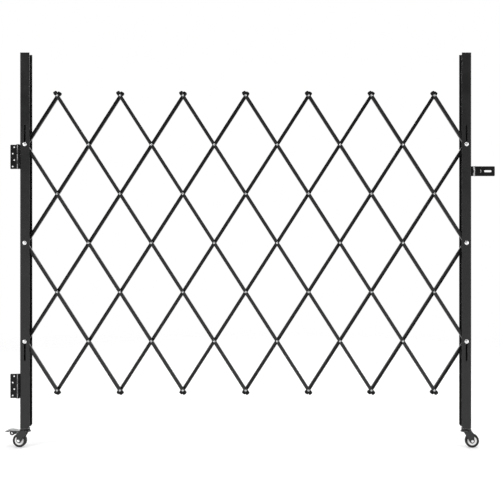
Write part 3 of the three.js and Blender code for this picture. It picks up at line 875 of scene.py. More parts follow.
@dataclass
class Lattice:
    """The crossed channel bars, the caps on their free ends and the rivets at their crossings."""

    bar_width: float = 12.5
    bar_depth: float = 10.0
    bar_wall: float = 1.5
    bar_bend: float = 1.6
    bar_end: float = 13.0
    bar_corner: float = 2.6
    bar_gap: float = 0.6
    cap_near: float = 5.0
    cap_far: float = 16.9
    cap_wall: float = 1.1
    cap_corner: float = 4.4
    bars: int = 10
    cap_gap: float = 0.06
    cap_mouth_corner: float = 0.9
    pad_inset: float = 2.2
    pad_lift: float = 0.3
    pad_root: float = 0.4
    inner_bend: float = 0.4
    rivet_radius: float = 2.9
    head_radius: float = 4.0
    head_height: float = 2.2
    tail_curl: float = 1.1
    tail_mouth: Point = (1.7, 0.9)
    tail_floor: float = 0.7
    running_gap: float = 0.3

    @property
    def face(self) -> float:
        """How far the outer face of a web is from the middle of the lattice."""
        return self.bar_gap / 2 + self.bar_depth

    def run(self, index: int) -> tuple[int, int, int]:
        """The way of one bar across the lattice.

        Args:
            index: The bar's place in its family, from zero.

        Returns:
            Column and row of its upper left end, and the number of its pitches.
        """
        lead = 2 * index + 1 - Gate.rows
        column, row = max(0, lead), max(0, -lead)
        return column, row, min(Gate.rows - row, Gate.columns - column)

    def channel(self, name: str, pitches: int) -> Workpiece:
        """Bends one bar, with its web at the front and its first pivot at zero.

        Args:
            name: The name of the piece.
            pitches: The number of pitches between its ends.

        Returns:
            The bar.
        """
        work = Workpiece(name)
        half, wall, web = self.bar_width / 2, self.bar_wall, -self.face
        tip = web + self.bar_depth
        outline = [
            (-half, tip),
            (-half, web),
            (half, web),
            (half, tip),
            (half - wall, tip),
            (half - wall, web + wall),
            (wall - half, web + wall),
            (wall - half, tip),
        ]
        outside, inside = (self.bar_bend, 4), (self.inner_bend, 2)
        rounds = {1: outside, 2: outside, 5: inside, 6: inside}
        low, high = -self.bar_end, pitches * Gate.pivot_pitch + self.bar_end
        work.slab(Plane.FLOOR, outline, low, high, rounds)
        for side in (-1, 1):
            for end, way in ((low, -1), (high, 1)):
                centre = Vector((side * (half - self.bar_corner), 0.0, end - way * self.bar_corner))
                for turn in (22.5, 45.0, 67.5):
                    angle = math.radians(turn)
                    facing = Vector((side * math.cos(angle), 0.0, way * math.sin(angle)))
                    work.trim(centre + facing * self.bar_corner, facing)
        work.soften(0.22)
        return work

    def caps(self, name: str, column: int, pitches: int) -> Workpiece:
        """Moulds the caps of one bar, each with a raised pad on its face.

        Args:
            name: The name of the piece.
            column: The column of the bar's first pivot.
            pitches: The number of pitches between its ends.

        Returns:
            The caps over the ends that aren't on a post.
        """
        work = Workpiece(name)
        ends = [(0.0, -1)] if column > 0 else []
        if column + pitches < Gate.columns:
            ends.append((pitches * Gate.pivot_pitch, 1))
        outer = -self.face - self.cap_wall
        mouth = -self.bar_gap / 2 - self.cap_gap
        cap, pad = (0.0, outer, mouth), (self.pad_inset, outer - self.pad_lift, outer + self.pad_root)
        for pivot, way in ends:
            for inset, low, high in (cap, pad):
                half = self.bar_width / 2 + self.cap_wall - inset
                near = pivot + way * (self.cap_near + inset)
                far = pivot + way * (self.cap_far - inset)
                outline = [(-half, near), (half, near), (half, far), (-half, far)]
                near_corner, far_corner = (self.cap_mouth_corner, 3), (self.cap_corner - inset, 6)
                rounds = {0: near_corner, 1: near_corner, 2: far_corner, 3: far_corner}
                work.slab(Plane.FRONT, outline, low, high, rounds)
        work.soften(0.45, segments=3)
        return work

    def rivets(self, name: str, column: int, pitches: int) -> Workpiece:
        """Sets the rivets of one front bar, from domed heads at the front to rolled tails at the rear.

        Args:
            name: The name of the piece.
            column: The column of the bar's first pivot.
            pitches: The number of pitches between its ends.

        Returns:
            The rivets at the crossings that aren't on a post.
        """
        work = Workpiece(name)
        front, rear, curl = -self.face, self.face + self.running_gap, self.tail_curl
        rim = rolled_rim(self.head_radius, self.head_height, 5)
        dome = [(radius, front - height) for radius, height in rim]
        tail = [(self.head_radius, rear)] + [
            (self.rivet_radius + curl * math.cos(turn), rear + curl + curl * math.sin(turn))
            for turn in (0.0, math.pi / 4, math.pi / 2, math.pi * 3 / 4)
        ]
        profile = [*reversed(dome), (self.rivet_radius, front), (self.rivet_radius, rear), *tail]
        profile += [(self.tail_mouth[0], rear + self.tail_mouth[1]), (0.0, rear + self.tail_floor)]
        for step in range(pitches + 1):
            if column + step not in (0, Gate.columns):
                place = Vector((0.0, 0.0, step * Gate.pivot_pitch))
                work.turned(Axis.ALONG_Y, profile, steps=18, centre=place)
        return work

    def build(self) -> None:
        """Builds both families of bars and all rivets."""
        front_turn = Matrix.Rotation(math.pi - Gate.open_angle, 4, "Y")
        rear_turn = Matrix.Rotation(Gate.open_angle, 4, "Y") @ Matrix.Rotation(math.pi, 4, "Z")
        for index in range(self.bars):
            column, row, pitches = self.run(index)
            for family, start, turn in (("front", row, front_turn), ("rear", Gate.rows - row, rear_turn)):
                bar = f"{family}_bar_{index + 1}"
                place = Matrix.Translation(Gate.pivot(column, start)) @ turn
                self.channel(f"{bar}_channel", pitches).settle(place, BAR_COAT, bar, [bar])
                if family == "front":
                    self.rivets(f"{bar}_rivets", column, pitches).settle(place, ZINC, bar)
                self.caps(f"{bar}_caps", column, pitches).settle(place, CAP_PLASTIC, bar)


@dataclass
class Posts:
    """The two channel posts, their foot plates and the bolts that join the lattice to them."""

    wall: float = 1.8
    bend: float = 3.5
    chamfer_width: float = 7.0
    chamfer_height: float = 7.5
    slot_radius: float = 3.5
    slot_room: float = 1.5
    plate: float = 3.0
    plate_rise: float = 3.0
    plate_reach: float = 10.0
    plate_room: float = 0.2
    plate_corner: float = 1.5
    bead_pitch: float = 1.9
    bead_size: tuple[float, float, float] = (1.6, 1.6, 1.25)
    bolt_radius: float = 3.0
    head_radius: float = 7.5
    head_height: float = 3.2
    head_rim: float = 0.7
    dome_start: float = 0.3
    socket_floor: float = 2.2
    socket_radius: float = 2.6
    socket_depth: float = 1.4
    spacer_radius: float = 5.5
    washer: float = 0.9
    seat_radius: float = 5.0
    seat: float = 1.1
    thread_radius: float = 2.6
    thread_end: Point = (2.1, 0.3)
    nut_radius: float = 6.2
    nut_bore: float = 2.75
    nut_rise: float = 0.95
    nut_short: float = 1.35
    gap: float = 0.3

    def channel(self, name: str) -> Workpiece:
        """Bends one post about its own axis, with its foot at zero and its mouth towards X.

        Args:
            name: The name of the piece.

        Returns:
            The post.
        """
        work = Workpiece(name)
        half, outer = Gate.post_depth / 2, Gate.post_width / 2
        outline = [
            (outer, half),
            (-outer, half),
            (-outer, -half),
            (outer, -half),
            (outer, self.wall - half),
            (self.wall - outer, self.wall - half),
            (self.wall - outer, half - self.wall),
            (outer, half - self.wall),
        ]
        inner = self.bend - self.wall
        rounds = {1: (self.bend, 6), 2: (self.bend, 6), 5: (inner, 4), 6: (inner, 4)}
        work.slab(Plane.FLOOR, outline, 0.0, Gate.post_length, rounds)
        slope = Vector((self.chamfer_height, 0.0, -self.chamfer_width)).normalized()
        work.trim(Vector((outer, 0.0, self.chamfer_height)), slope)
        travel = 2 * Gate.pivot_pitch * (math.cos(Gate.folded_angle) - math.cos(Gate.open_angle))
        drop = 2 * Gate.row_pitch
        cutter = Workpiece("cutter")
        radius = self.slot_radius
        rounds = {index: (radius * ROUND_END, 5) for index in range(4)}
        for low, high in ((-drop - travel - self.slot_room, -drop), (drop, drop + travel + self.slot_room)):
            bottom, top = low - radius, high + radius
            corners = [(-radius, bottom), (radius, bottom), (radius, top), (-radius, top)]
            raised = [(x, z + Gate.middle_rise) for x, z in corners]
            cutter.slab(Plane.FRONT, raised, -half - 5, half + 5, rounds)
        work.shape(cutter)
        work.soften(0.35, clamp=False)
        return work

    def plate_half(self) -> Point:
        """Half the length and width of the room for the foot plate."""
        room = self.wall + self.plate_room
        return Gate.post_width / 2 - room, Gate.post_depth / 2 - room

    def foot(self, name: str) -> Workpiece:
        """Cuts the plate that is welded across the foot, with its weld along the web.

        Args:
            name: The name of the piece.

        Returns:
            The plate.
        """
        work = Workpiece(name)
        inner, half = self.plate_half()
        outline = [(-inner, -half), (self.plate_reach, -half), (self.plate_reach, half), (-inner, half)]
        low, high = self.plate_rise, self.plate_rise + self.plate
        work.slab(Plane.FLOOR, outline, low, high, dict.fromkeys((1, 2), (self.plate_corner, 3)))
        work.soften(0.3)
        return work

    def weld(self, name: str) -> Workpiece:
        """Lays the weld beads that join the foot plate to the web and the flanges.

        Args:
            name: The name of the piece.

        Returns:
            The beads.
        """
        work = Workpiece(name)
        inner, half = self.plate_half()
        top, end = self.plate_rise + self.plate, self.plate_reach - 1
        corners = [(end, -half), (-inner, -half), (-inner, half), (end, half)]
        for (x0, y0), (x1, y1) in zip(corners, corners[1:]):
            count = round(math.hypot(x1 - x0, y1 - y0) / self.bead_pitch)
            for step in range(1, count):
                share = step / count
                place = Matrix.Translation((x0 + (x1 - x0) * share, y0 + (y1 - y0) * share, top))
                place = place @ Matrix.Diagonal((*self.bead_size, 1.0))
                bmesh.ops.create_uvsphere(work.bm, u_segments=10, v_segments=7, radius=1.0, matrix=place)
        work.soften(0.01, segments=1, limit=170)
        return work

    def bolt(self, name: str) -> Workpiece:
        """Turns one bolt with a socket head at the front, two spacers, and a washer and thread at the rear.

        Args:
            name: The name of the piece.

        Returns:
            The bolt.
        """
        work = Workpiece(name)
        face = Gate.post_depth / 2 + self.gap
        outer = Gate.post_depth / 2 - self.wall - self.gap
        inner = Lattice().face + self.gap
        dome = [
            (radius, -face - self.head_rim - height)
            for radius, height in rolled_rim(self.head_radius, self.head_height - self.head_rim, 7)
            if radius > self.head_radius * self.dome_start
        ]
        top = -face - self.head_height
        front = [(0.0, top), (self.socket_floor, top), *reversed(dome)]
        front += [(self.head_radius, -face), (self.bolt_radius, -face)]
        front += [(self.bolt_radius, -outer), (self.spacer_radius, -outer)]
        front += [(self.spacer_radius, -inner), (self.bolt_radius, -inner)]
        back = [(self.bolt_radius, inner), (self.spacer_radius, inner), (self.spacer_radius, outer)]
        back += [(self.bolt_radius, outer), (self.bolt_radius, face), (self.head_radius, face)]
        washer, seat, end = face + self.washer, face + self.seat, face + self.head_height
        back += [(self.head_radius, washer), (self.seat_radius, washer), (self.seat_radius, seat)]
        back += [(self.thread_radius, seat), (self.thread_radius, end - self.thread_end[1])]
        back += [(self.thread_end[0], end), (0.0, end)]
        work.turned(Axis.ALONG_Y, [*front, *back], steps=32)
        socket = Workpiece("cutter")
        floor = -face - self.socket_depth
        socket.bar(self.socket_radius, Vector((0, floor, 0)), Vector((0, top - 2, 0)), sides=HEXAGON)
        work.shape(socket)
        work.soften(0.18)
        return work

    def nut(self, name: str) -> Workpiece:
        """Makes the hexagon nut at the rear end of a bolt.

        Args:
            name: The name of the piece.

        Returns:
            The nut.
        """
        work = Workpiece(name)
        low = Gate.post_depth / 2 + self.gap + self.nut_rise
        high = low + self.head_height - self.nut_short
        work.bar(self.nut_radius, Vector((0, low, 0)), Vector((0, high, 0)), sides=HEXAGON)
        bore = Workpiece("cutter")
        bore.bar(self.nut_bore, Vector((0, low - 1, 0)), Vector((0, low + 4, 0)), sides=24)
        work.shape(bore)
        work.soften(0.35)
        return work

    def build(self) -> None:
        """Builds the posts, their feet and the six bolts."""
        for side, way in (("left", -1), ("right", 1)):
            turn = Matrix.Rotation(0.0 if way < 0 else math.pi, 4, "Z")
            place = Matrix.Translation((way * Gate.post_axis, 0.0, Gate.floor_gap)) @ turn
            body = f"{side}_post"
            self.channel(f"{side}_post_channel").settle(place, POST_COAT, body, [f"post_{side}"])
            self.foot(f"{side}_post_foot").settle(place, POST_COAT, body, [f"foot_plate_{side}"])
            self.weld(f"{side}_post_foot_weld").settle(place, POST_COAT, body)
        carriers = {
            ("left", "top"): "front_bar_3",
            ("left", "middle"): "left_post",
            ("left", "bottom"): "rear_bar_3",
            ("right", "top"): "rear_bar_8",
            ("right", "middle"): "right_post",
            ("right", "bottom"): "front_bar_8",
        }
        rows = {"top": 1, "middle": 3, "bottom": 5}
        for (side, level), body in carriers.items():
            place = Matrix.Translation(Gate.pivot(0 if side == "left" else Gate.columns, rows[level]))
            node = f"pivot_bolt_{side}_{level}"
            self.bolt(f"{side}_{level}_bolt").settle(place, LIT_ZINC, body, [node])
            self.nut(f"{side}_{level}_bolt_nut").settle(place, ZINC, body)


@dataclass
class RolledLeaf:
    """A plate whose edge is rolled round a pin in every other band of its height."""

    height: float
    knuckles: int
    reach: float
    wall: float
    radius: float
    gap: float
    corner: float
    steps: int = 22
    rolled: float = 332.0
    skin: Point = (0.9, 1.05)

    def bands(self, first: int) -> list[Point]:
        """Lowest and highest place of every other knuckle."""
        step = self.height / self.knuckles
        return [(index * step, (index + 1) * step) for index in range(first, self.knuckles, 2)]

    def make(self, name: str, first: int) -> Workpiece:
        """Cuts the plate and rolls its knuckles, with the pin at zero and the plate towards minus X.

        Args:
            name: The name of the piece.
            first: The lowest knuckle that it has.

        Returns:
            The leaf.
        """
        work = Workpiece(name)
        back = self.radius
        room = -self.radius - self.gap
        points: list[Point] = [(-self.reach, 0.0)]
        for low, high in self.bands(first):
            bottom = low + (self.gap / 2 if low > 0 else 0.0)
            top = high - (self.gap / 2 if high < self.height else 0.0)
            if low > 0:
                points += [(room, bottom)]
            points += [(0.0, bottom), (0.0, top)]
            if high < self.height:
                points += [(room, top)]
        if self.bands(first)[0][0] > 0:
            points.insert(1, (room, 0.0))
        if self.bands(first)[-1][1] < self.height:
            points.append((room, self.height))
        points.append((-self.reach, self.height))
        rounds = {0: (self.corner, 4), len(points) - 1: (self.corner, 4)}
        work.slab(Plane.FRONT, points, back - self.wall, back, rounds)
        ends = [
            face for face in work.bm.faces if face.normal.x > 0.9 and face.calc_center_median().x > -0.1
        ]
        for face in ends:
            low = min(vertex.co.z for vertex in face.verts)
            geometry = [*face.verts, *face.edges, face]
            bmesh.ops.spin(
                work.bm,
                geom=geometry,
                cent=Vector((0.0, 0.0, low)),
                axis=Vector((0.0, 0.0, 1.0)),
                angle=-math.radians(self.rolled),
                steps=self.steps,
                use_merge=False,
                use_duplicate=False,
            )
        bmesh.ops.remove_doubles(work.bm, verts=work.bm.verts, dist=WELD_REACH)
        bmesh.ops.recalc_face_normals(work.bm, faces=work.bm.faces)
        return work

    def paint_highlight_line(self, work: Workpiece, towards: Vector, amount: float, faces: float = 1.05) -> None:
        """Paints a highlight line along the barrel, in the finish's pale colour for marked faces.

        Args:
            work: The leaf, after its edges are rounded.
            towards: The side of the barrel that the line is on.
            amount: How strongly it is marked.
            faces: How many faces of the barrel the line takes up.
        """
        mark = work.bm.faces.layers.float[WEAR_AND_HIGHLIGHT_LAYER]
        width = math.pi / self.steps * faces
        for face in work.bm.faces:
            middle = face.calc_center_median()
            out = Vector((middle.x, middle.y, 0.0))
            if self.skin[0] < out.length / self.radius < self.skin[1] and out.angle(towards) < width:
                face[mark] = amount


@dataclass
class Hinges:
    """The two butt hinges between the wall and the left post."""

    leaf: RolledLeaf = field(
        default_factory=lambda: RolledLeaf(
            height=88.9, knuckles=5, reach=29.5, wall=2.5, radius=6.3, gap=0.5, corner=2.5
        )
    )
    pin_radius: float = 3.5
    hole_radius: float = 2.6
    sink_radius: float = 4.2
    sink_depth: float = 1.5
    hole_pitch: float = 23.6
    near_hole: float = 15.9
    far_hole: float = 21.3
    rivet_radius: float = 4.2
    rivet_height: float = 1.3
    stand_off: float = 0.5
    seat: float = 0.2
    pin_lift: float = 0.3
    pin_foot: float = 0.9
    pin_dome: float = 0.6
    # Strength and lean of the painted highlight line down each barrel
    highlight_strength: float = 2.0
    highlight_lean: float = 0.12
    rises: tuple[tuple[str, float], ...] = (("upper", 994.5), ("lower", 155.5))

    def holes(self) -> list[Point]:
        """Reach and height of the four staggered holes."""
        first = (self.leaf.height - 3 * self.hole_pitch) / 2
        return [
            (self.far_hole if index % 2 == 0 else self.near_hole, first + index * self.hole_pitch)
            for index in range(4)
        ]

    def wall_leaf(self, name: str) -> Workpiece:
        """The leaf for the wall, with countersunk screw holes.

        Args:
            name: The name of the piece.

        Returns:
            The leaf.
        """
        work = self.leaf.make(name, 0)
        face = self.leaf.radius - self.leaf.wall
        cutter = Workpiece("cutter")
        for reach, height in self.holes():
            cutter.turned(
                Axis.ALONG_Y,
                [
                    (0.0, face - 1.0),
                    (self.sink_radius, face - 1.0),
                    (self.sink_radius, face),
                    (self.hole_radius, face + self.sink_depth),
                    (self.hole_radius, face + 4.0),
                    (0.0, face + 4.0),
                ],
                steps=28,
                centre=Vector((-reach, 0.0, height)),
            )
        work.shape(cutter)
        work.soften(0.25, clamp=False)
        # Painted highlight down the front of the wall leaf's knuckles
        self.leaf.paint_highlight_line(work, Vector((-self.highlight_lean, -1.0, 0.0)), self.highlight_strength)
        return work

    def post_leaf(self, name: str) -> Workpiece:
        """The leaf that runs along the post's web.

        Args:
            name: The name of the piece.

        Returns:
            The leaf.
        """
        work = self.leaf.make(name, 1)
        work.soften(0.25)
        # Fainter painted highlight on the post leaf's knuckles
        self.leaf.paint_highlight_line(work, Vector((1.0, -self.highlight_lean, 0.0)), self.highlight_strength * FAINT_HIGHLIGHT)
        return work

    def rivets(self, name: str) -> Workpiece:
        """The four domed rivet heads of a post leaf.

        Args:
            name: The name of the piece.

        Returns:
            The heads.
        """
        work = Workpiece(name)
        face = self.leaf.radius - self.leaf.wall
        profile = domed_head(self.rivet_radius, self.rivet_height, face, 5, (self.rivet_radius * 0.8, 1.0))
        for reach, height in self.holes():
            work.turned(Axis.ALONG_Y, profile, steps=22, centre=Vector((-reach, 0.0, height)))
        work.soften(0.1, segments=1, limit=60)
        return work

    def pin(self, name: str) -> Workpiece:
        """The pin, with a button head above the barrel and a rounded foot below it.

        Args:
            name: The name of the piece.

        Returns:
            The pin.
        """
        work = Workpiece(name)
        top, lift = self.leaf.height + self.pin_lift, self.pin_lift
        foot = [(radius, -height) for radius, height in rolled_rim(self.pin_radius, self.pin_foot, 4)]
        rim = self.leaf.radius - 0.3
        head = [(radius, top + lift + height) for radius, height in rolled_rim(rim, self.pin_dome, 6)]
        profile = [*reversed(foot), (self.pin_radius, top), (self.leaf.radius - 0.4, top), *head]
        work.turned(Axis.ALONG_Z, profile, steps=28)
        work.soften(0.12, segments=1, limit=50)
        return work

    def build(self) -> None:
        """Builds both hinges."""
        x = -Gate.post_axis - Gate.post_width / 2 - self.seat - self.leaf.radius
        y = -Gate.post_depth / 2 - self.stand_off
        for name, rise in self.rises:
            place = Matrix.Translation((x, y, Gate.floor_gap + rise - self.leaf.height / 2))
            turn = place @ Matrix.Rotation(-math.pi / 2, 4, "Z")
            self.wall_leaf(f"{name}_hinge_wall_leaf").settle(
                place, FITTING_COAT, "wall_side", [f"hinge_wall_leaf_{name}"]
            )
            self.post_leaf(f"{name}_hinge_post_leaf").settle(
                turn, FITTING_COAT, "left_post", [f"hinge_post_leaf_{name}"]
            )
            self.rivets(f"{name}_hinge_rivets").settle(turn, FITTING_COAT, "left_post")
            self.pin(f"{name}_hinge_pin").settle(place, FORK_PAINT, "wall_side", [f"hinge_pin_{name}"])


@dataclass
class Hasp:
    """The hasp of the right post: its riveted angle, its slotted strap and their pin."""

    leaf: RolledLeaf = field(
        default_factory=lambda: RolledLeaf(
            height=36.0, knuckles=3, reach=74.0, wall=2.0, radius=3.8, gap=0.5, corner=3.0, steps=18
        )
    )
    rise: float = 942.0
    barrel_reach: float = 12.7
    base_depth: float = 27.0
    plate_reach: float = 4.4
    inset: float = 2.0
    seat: float = 0.2
    pin_radius: float = 2.3
    pin_head: float = 1.4
    pin_lift: float = 0.3
    slot_length: float = 27.0
    slot_width: float = 7.0
    slot_room: float = 12.0
    rib_radius: float = 11.0
    rib_width: float = 4.0
    rib_height: float = 1.2
    rib_reach: float = 25.0
    rib_spread: float = 38.0
    rivet_radius: float = 4.2
    rivet_height: float = 1.3
    # Strength, width and side of the painted highlight line down each barrel
    highlight_strength: float = 2.2
    highlight_faces: float = 2.4
    highlight_way: Point = (0.5, -0.87)

    def strap(self, name: str) -> Workpiece:
        """Presses the strap, with its slot and its curved rib, about its pin and towards minus X.

        Args:
            name: The name of the piece.

        Returns:
            The strap.
        """
        work = self.leaf.make(name, 0)
        middle = self.leaf.height / 2
        centre = -(self.leaf.reach - self.slot_room - self.slot_length / 2)
        long, short = self.slot_length / 2, self.slot_width / 2
        corners = [
            (centre - long, middle - short),
            (centre + long, middle - short),
            (centre + long, middle + short),
            (centre - long, middle + short),
        ]
        cutter = Workpiece("cutter")
        cutter.slab(Plane.FRONT, corners, -9.0, 9.0, dict.fromkeys(range(4), (short * ROUND_END, 8)))
        work.shape(cutter)
        work.soften(0.3, clamp=False)
        # Painted highlight down the strap's knuckles
        across, forward = self.highlight_way
        self.leaf.paint_highlight_line(work, Vector((across, forward, 0.0)), self.highlight_strength, self.highlight_faces)
        self.rib(work)
        return work

    def rib(self, work: Workpiece) -> None:
        """Raises the curved rib on the face of the strap, with round ends, and paints a highlight along its
        crown.

        Args:
            work: The strap.
        """
        face = self.leaf.radius - self.leaf.wall
        centre = Vector((self.rib_radius - self.rib_reach, 0.0, self.leaf.height / 2))
        half = self.rib_width / 2
        middle = self.rib_radius - half
        section = [(middle - half, face + 0.5), (middle + half, face + 0.5)]
        crown = rolled_rim(half, self.rib_height, 4)
        section += [(middle + x, face - height) for x, height in crown]
        section += [(middle - x, face - height) for x, height in reversed(crown[:-1])]
        start = math.radians(180.0 - self.rib_spread)
        ways = Vector((math.cos(start), 0.0, math.sin(start)))
        ring = [work.bm.verts.new(centre + ways * reach + Vector((0.0, y, 0.0))) for reach, y in section]
        flat = work.bm.faces.new(ring)
        bmesh.ops.spin(
            work.bm,
            geom=[*flat.verts, *flat.edges, flat],
            cent=centre,
            axis=Vector((0.0, 1.0, 0.0)),
            angle=-2 * math.radians(self.rib_spread),
            steps=16,
            use_merge=False,
        )
        profile = domed_head(half, self.rib_height, face, 4, (half, 0.5))
        for turn in (180.0 - self.rib_spread, 180.0 + self.rib_spread):
            angle = math.radians(turn)
            end = centre + Vector((math.cos(angle), 0.0, math.sin(angle))) * middle
            work.turned(Axis.ALONG_Y, profile, steps=16, centre=end)
        bmesh.ops.recalc_face_normals(work.bm, faces=work.bm.faces)
        # Paints a fainter highlight along the crown of the rib
        mark = work.bm.faces.layers.float[WEAR_AND_HIGHLIGHT_LAYER]
        for part in work.bm.faces:
            middle = part.calc_center_median()
            if middle.x < -self.leaf.radius * 2 and middle.y < face - self.rib_height * 0.6:
                part[mark] = self.highlight_strength * FAINT_HIGHLIGHT

    def base(self, name: str) -> Workpiece:
        """Bends the angle that lies along the post's web and carries the middle knuckle.

        Args:
            name: The name of the piece.

        Returns:
            The angle.
        """
        web = self.seat - self.barrel_reach
        wall, face = self.leaf.wall, self.leaf.radius
        short = RolledLeaf(self.leaf.height, 3, 8.0, wall, face, self.leaf.gap, 0.3, 18)
        work = short.make(name, 1)
        back = face - wall + self.base_depth
        outline = [
            (web, back),
            (web, face - wall),
            (-self.plate_reach, face - wall),
            (-self.plate_reach, face),
            (web + wall, face),
            (web + wall, back),
        ]
        angle = Workpiece("angle")
        angle.slab(Plane.FLOOR, outline, 0.0, self.leaf.height, {1: (2.5, 5), 4: (0.5, 3)})
        for at, facing in (
            ((web, back, 0.0), (0.0, 1.0, -1.0)),
            ((web, back, self.leaf.height), (0.0, 1.0, 1.0)),
        ):
            way = Vector(facing).normalized()
            angle.trim(Vector(at) - way * 2.0, way)
        work.shape(angle, "UNION")
        work.soften(0.3, clamp=False)
        # Painted highlight down the angle's knuckle
        across, forward = self.highlight_way
        self.leaf.paint_highlight_line(work, Vector((-across, forward, 0.0)), self.highlight_strength, self.highlight_faces)
        return work

    def rivets(self, name: str) -> Workpiece:
        """The two domed rivet heads of the angle.

        Args:
            name: The name of the piece.

        Returns:
            The heads.
        """
        work = Workpiece(name)
        web = self.seat - self.barrel_reach + self.leaf.wall
        for height in (self.leaf.height / 4, self.leaf.height * 3 / 4):
            root = (self.rivet_radius * 0.8, 1.0)
            profile = domed_head(self.rivet_radius, self.rivet_height, 0.0, 5, root)
            fresh = work.turned(Axis.ALONG_Y, profile, steps=22)
            place = Matrix.Translation((web, self.leaf.radius + self.base_depth / 2, height))
            work.move(fresh, place @ Matrix.Rotation(math.pi / 2, 4, "Z"))
        work.soften(0.1, segments=1, limit=60)
        return work

    def pin(self, name: str) -> Workpiece:
        """The pin with its domed head and its peened foot.

        Args:
            name: The name of the piece.

        Returns:
            The pin.
        """
        work = Workpiece(name)
        top, lift = self.leaf.height + self.pin_lift, self.pin_lift
        foot = [(radius, -height) for radius, height in rolled_rim(self.pin_radius, self.pin_head, 4)]
        rim = self.leaf.radius
        head = [(radius, top + lift + height) for radius, height in rolled_rim(rim, self.pin_head - lift, 6)]
        profile = [*reversed(foot), (self.pin_radius, top), (rim - 0.2, top), *head]
        work.turned(Axis.ALONG_Z, profile, steps=28)
        work.soften(0.1, segments=1, limit=50)
        return work

    def build(self) -> None:
        """Builds the hasp."""
        place = Matrix.Translation((
            Gate.post_axis + Gate.post_width / 2 + self.barrel_reach,
            self.inset - Gate.post_depth / 2,
            Gate.floor_gap + self.rise - self.leaf.height / 2,
        ))
        turn = place @ Matrix.Translation((0.0, 0.0, self.leaf.height)) @ Matrix.Rotation(math.pi, 4, "Y")
        self.strap("hasp_slotted_strap").settle(turn, FITTING_COAT, "strap", ["hasp_strap"])
        self.base("hasp_angle").settle(place, FITTING_COAT, "right_post", ["hasp_base"])
        self.rivets("hasp_angle_rivets").settle(place, FITTING_COAT, "right_post")
        self.pin("hasp_hinge_pin").settle(place, ZINC, "right_post", ["hasp_pin"])


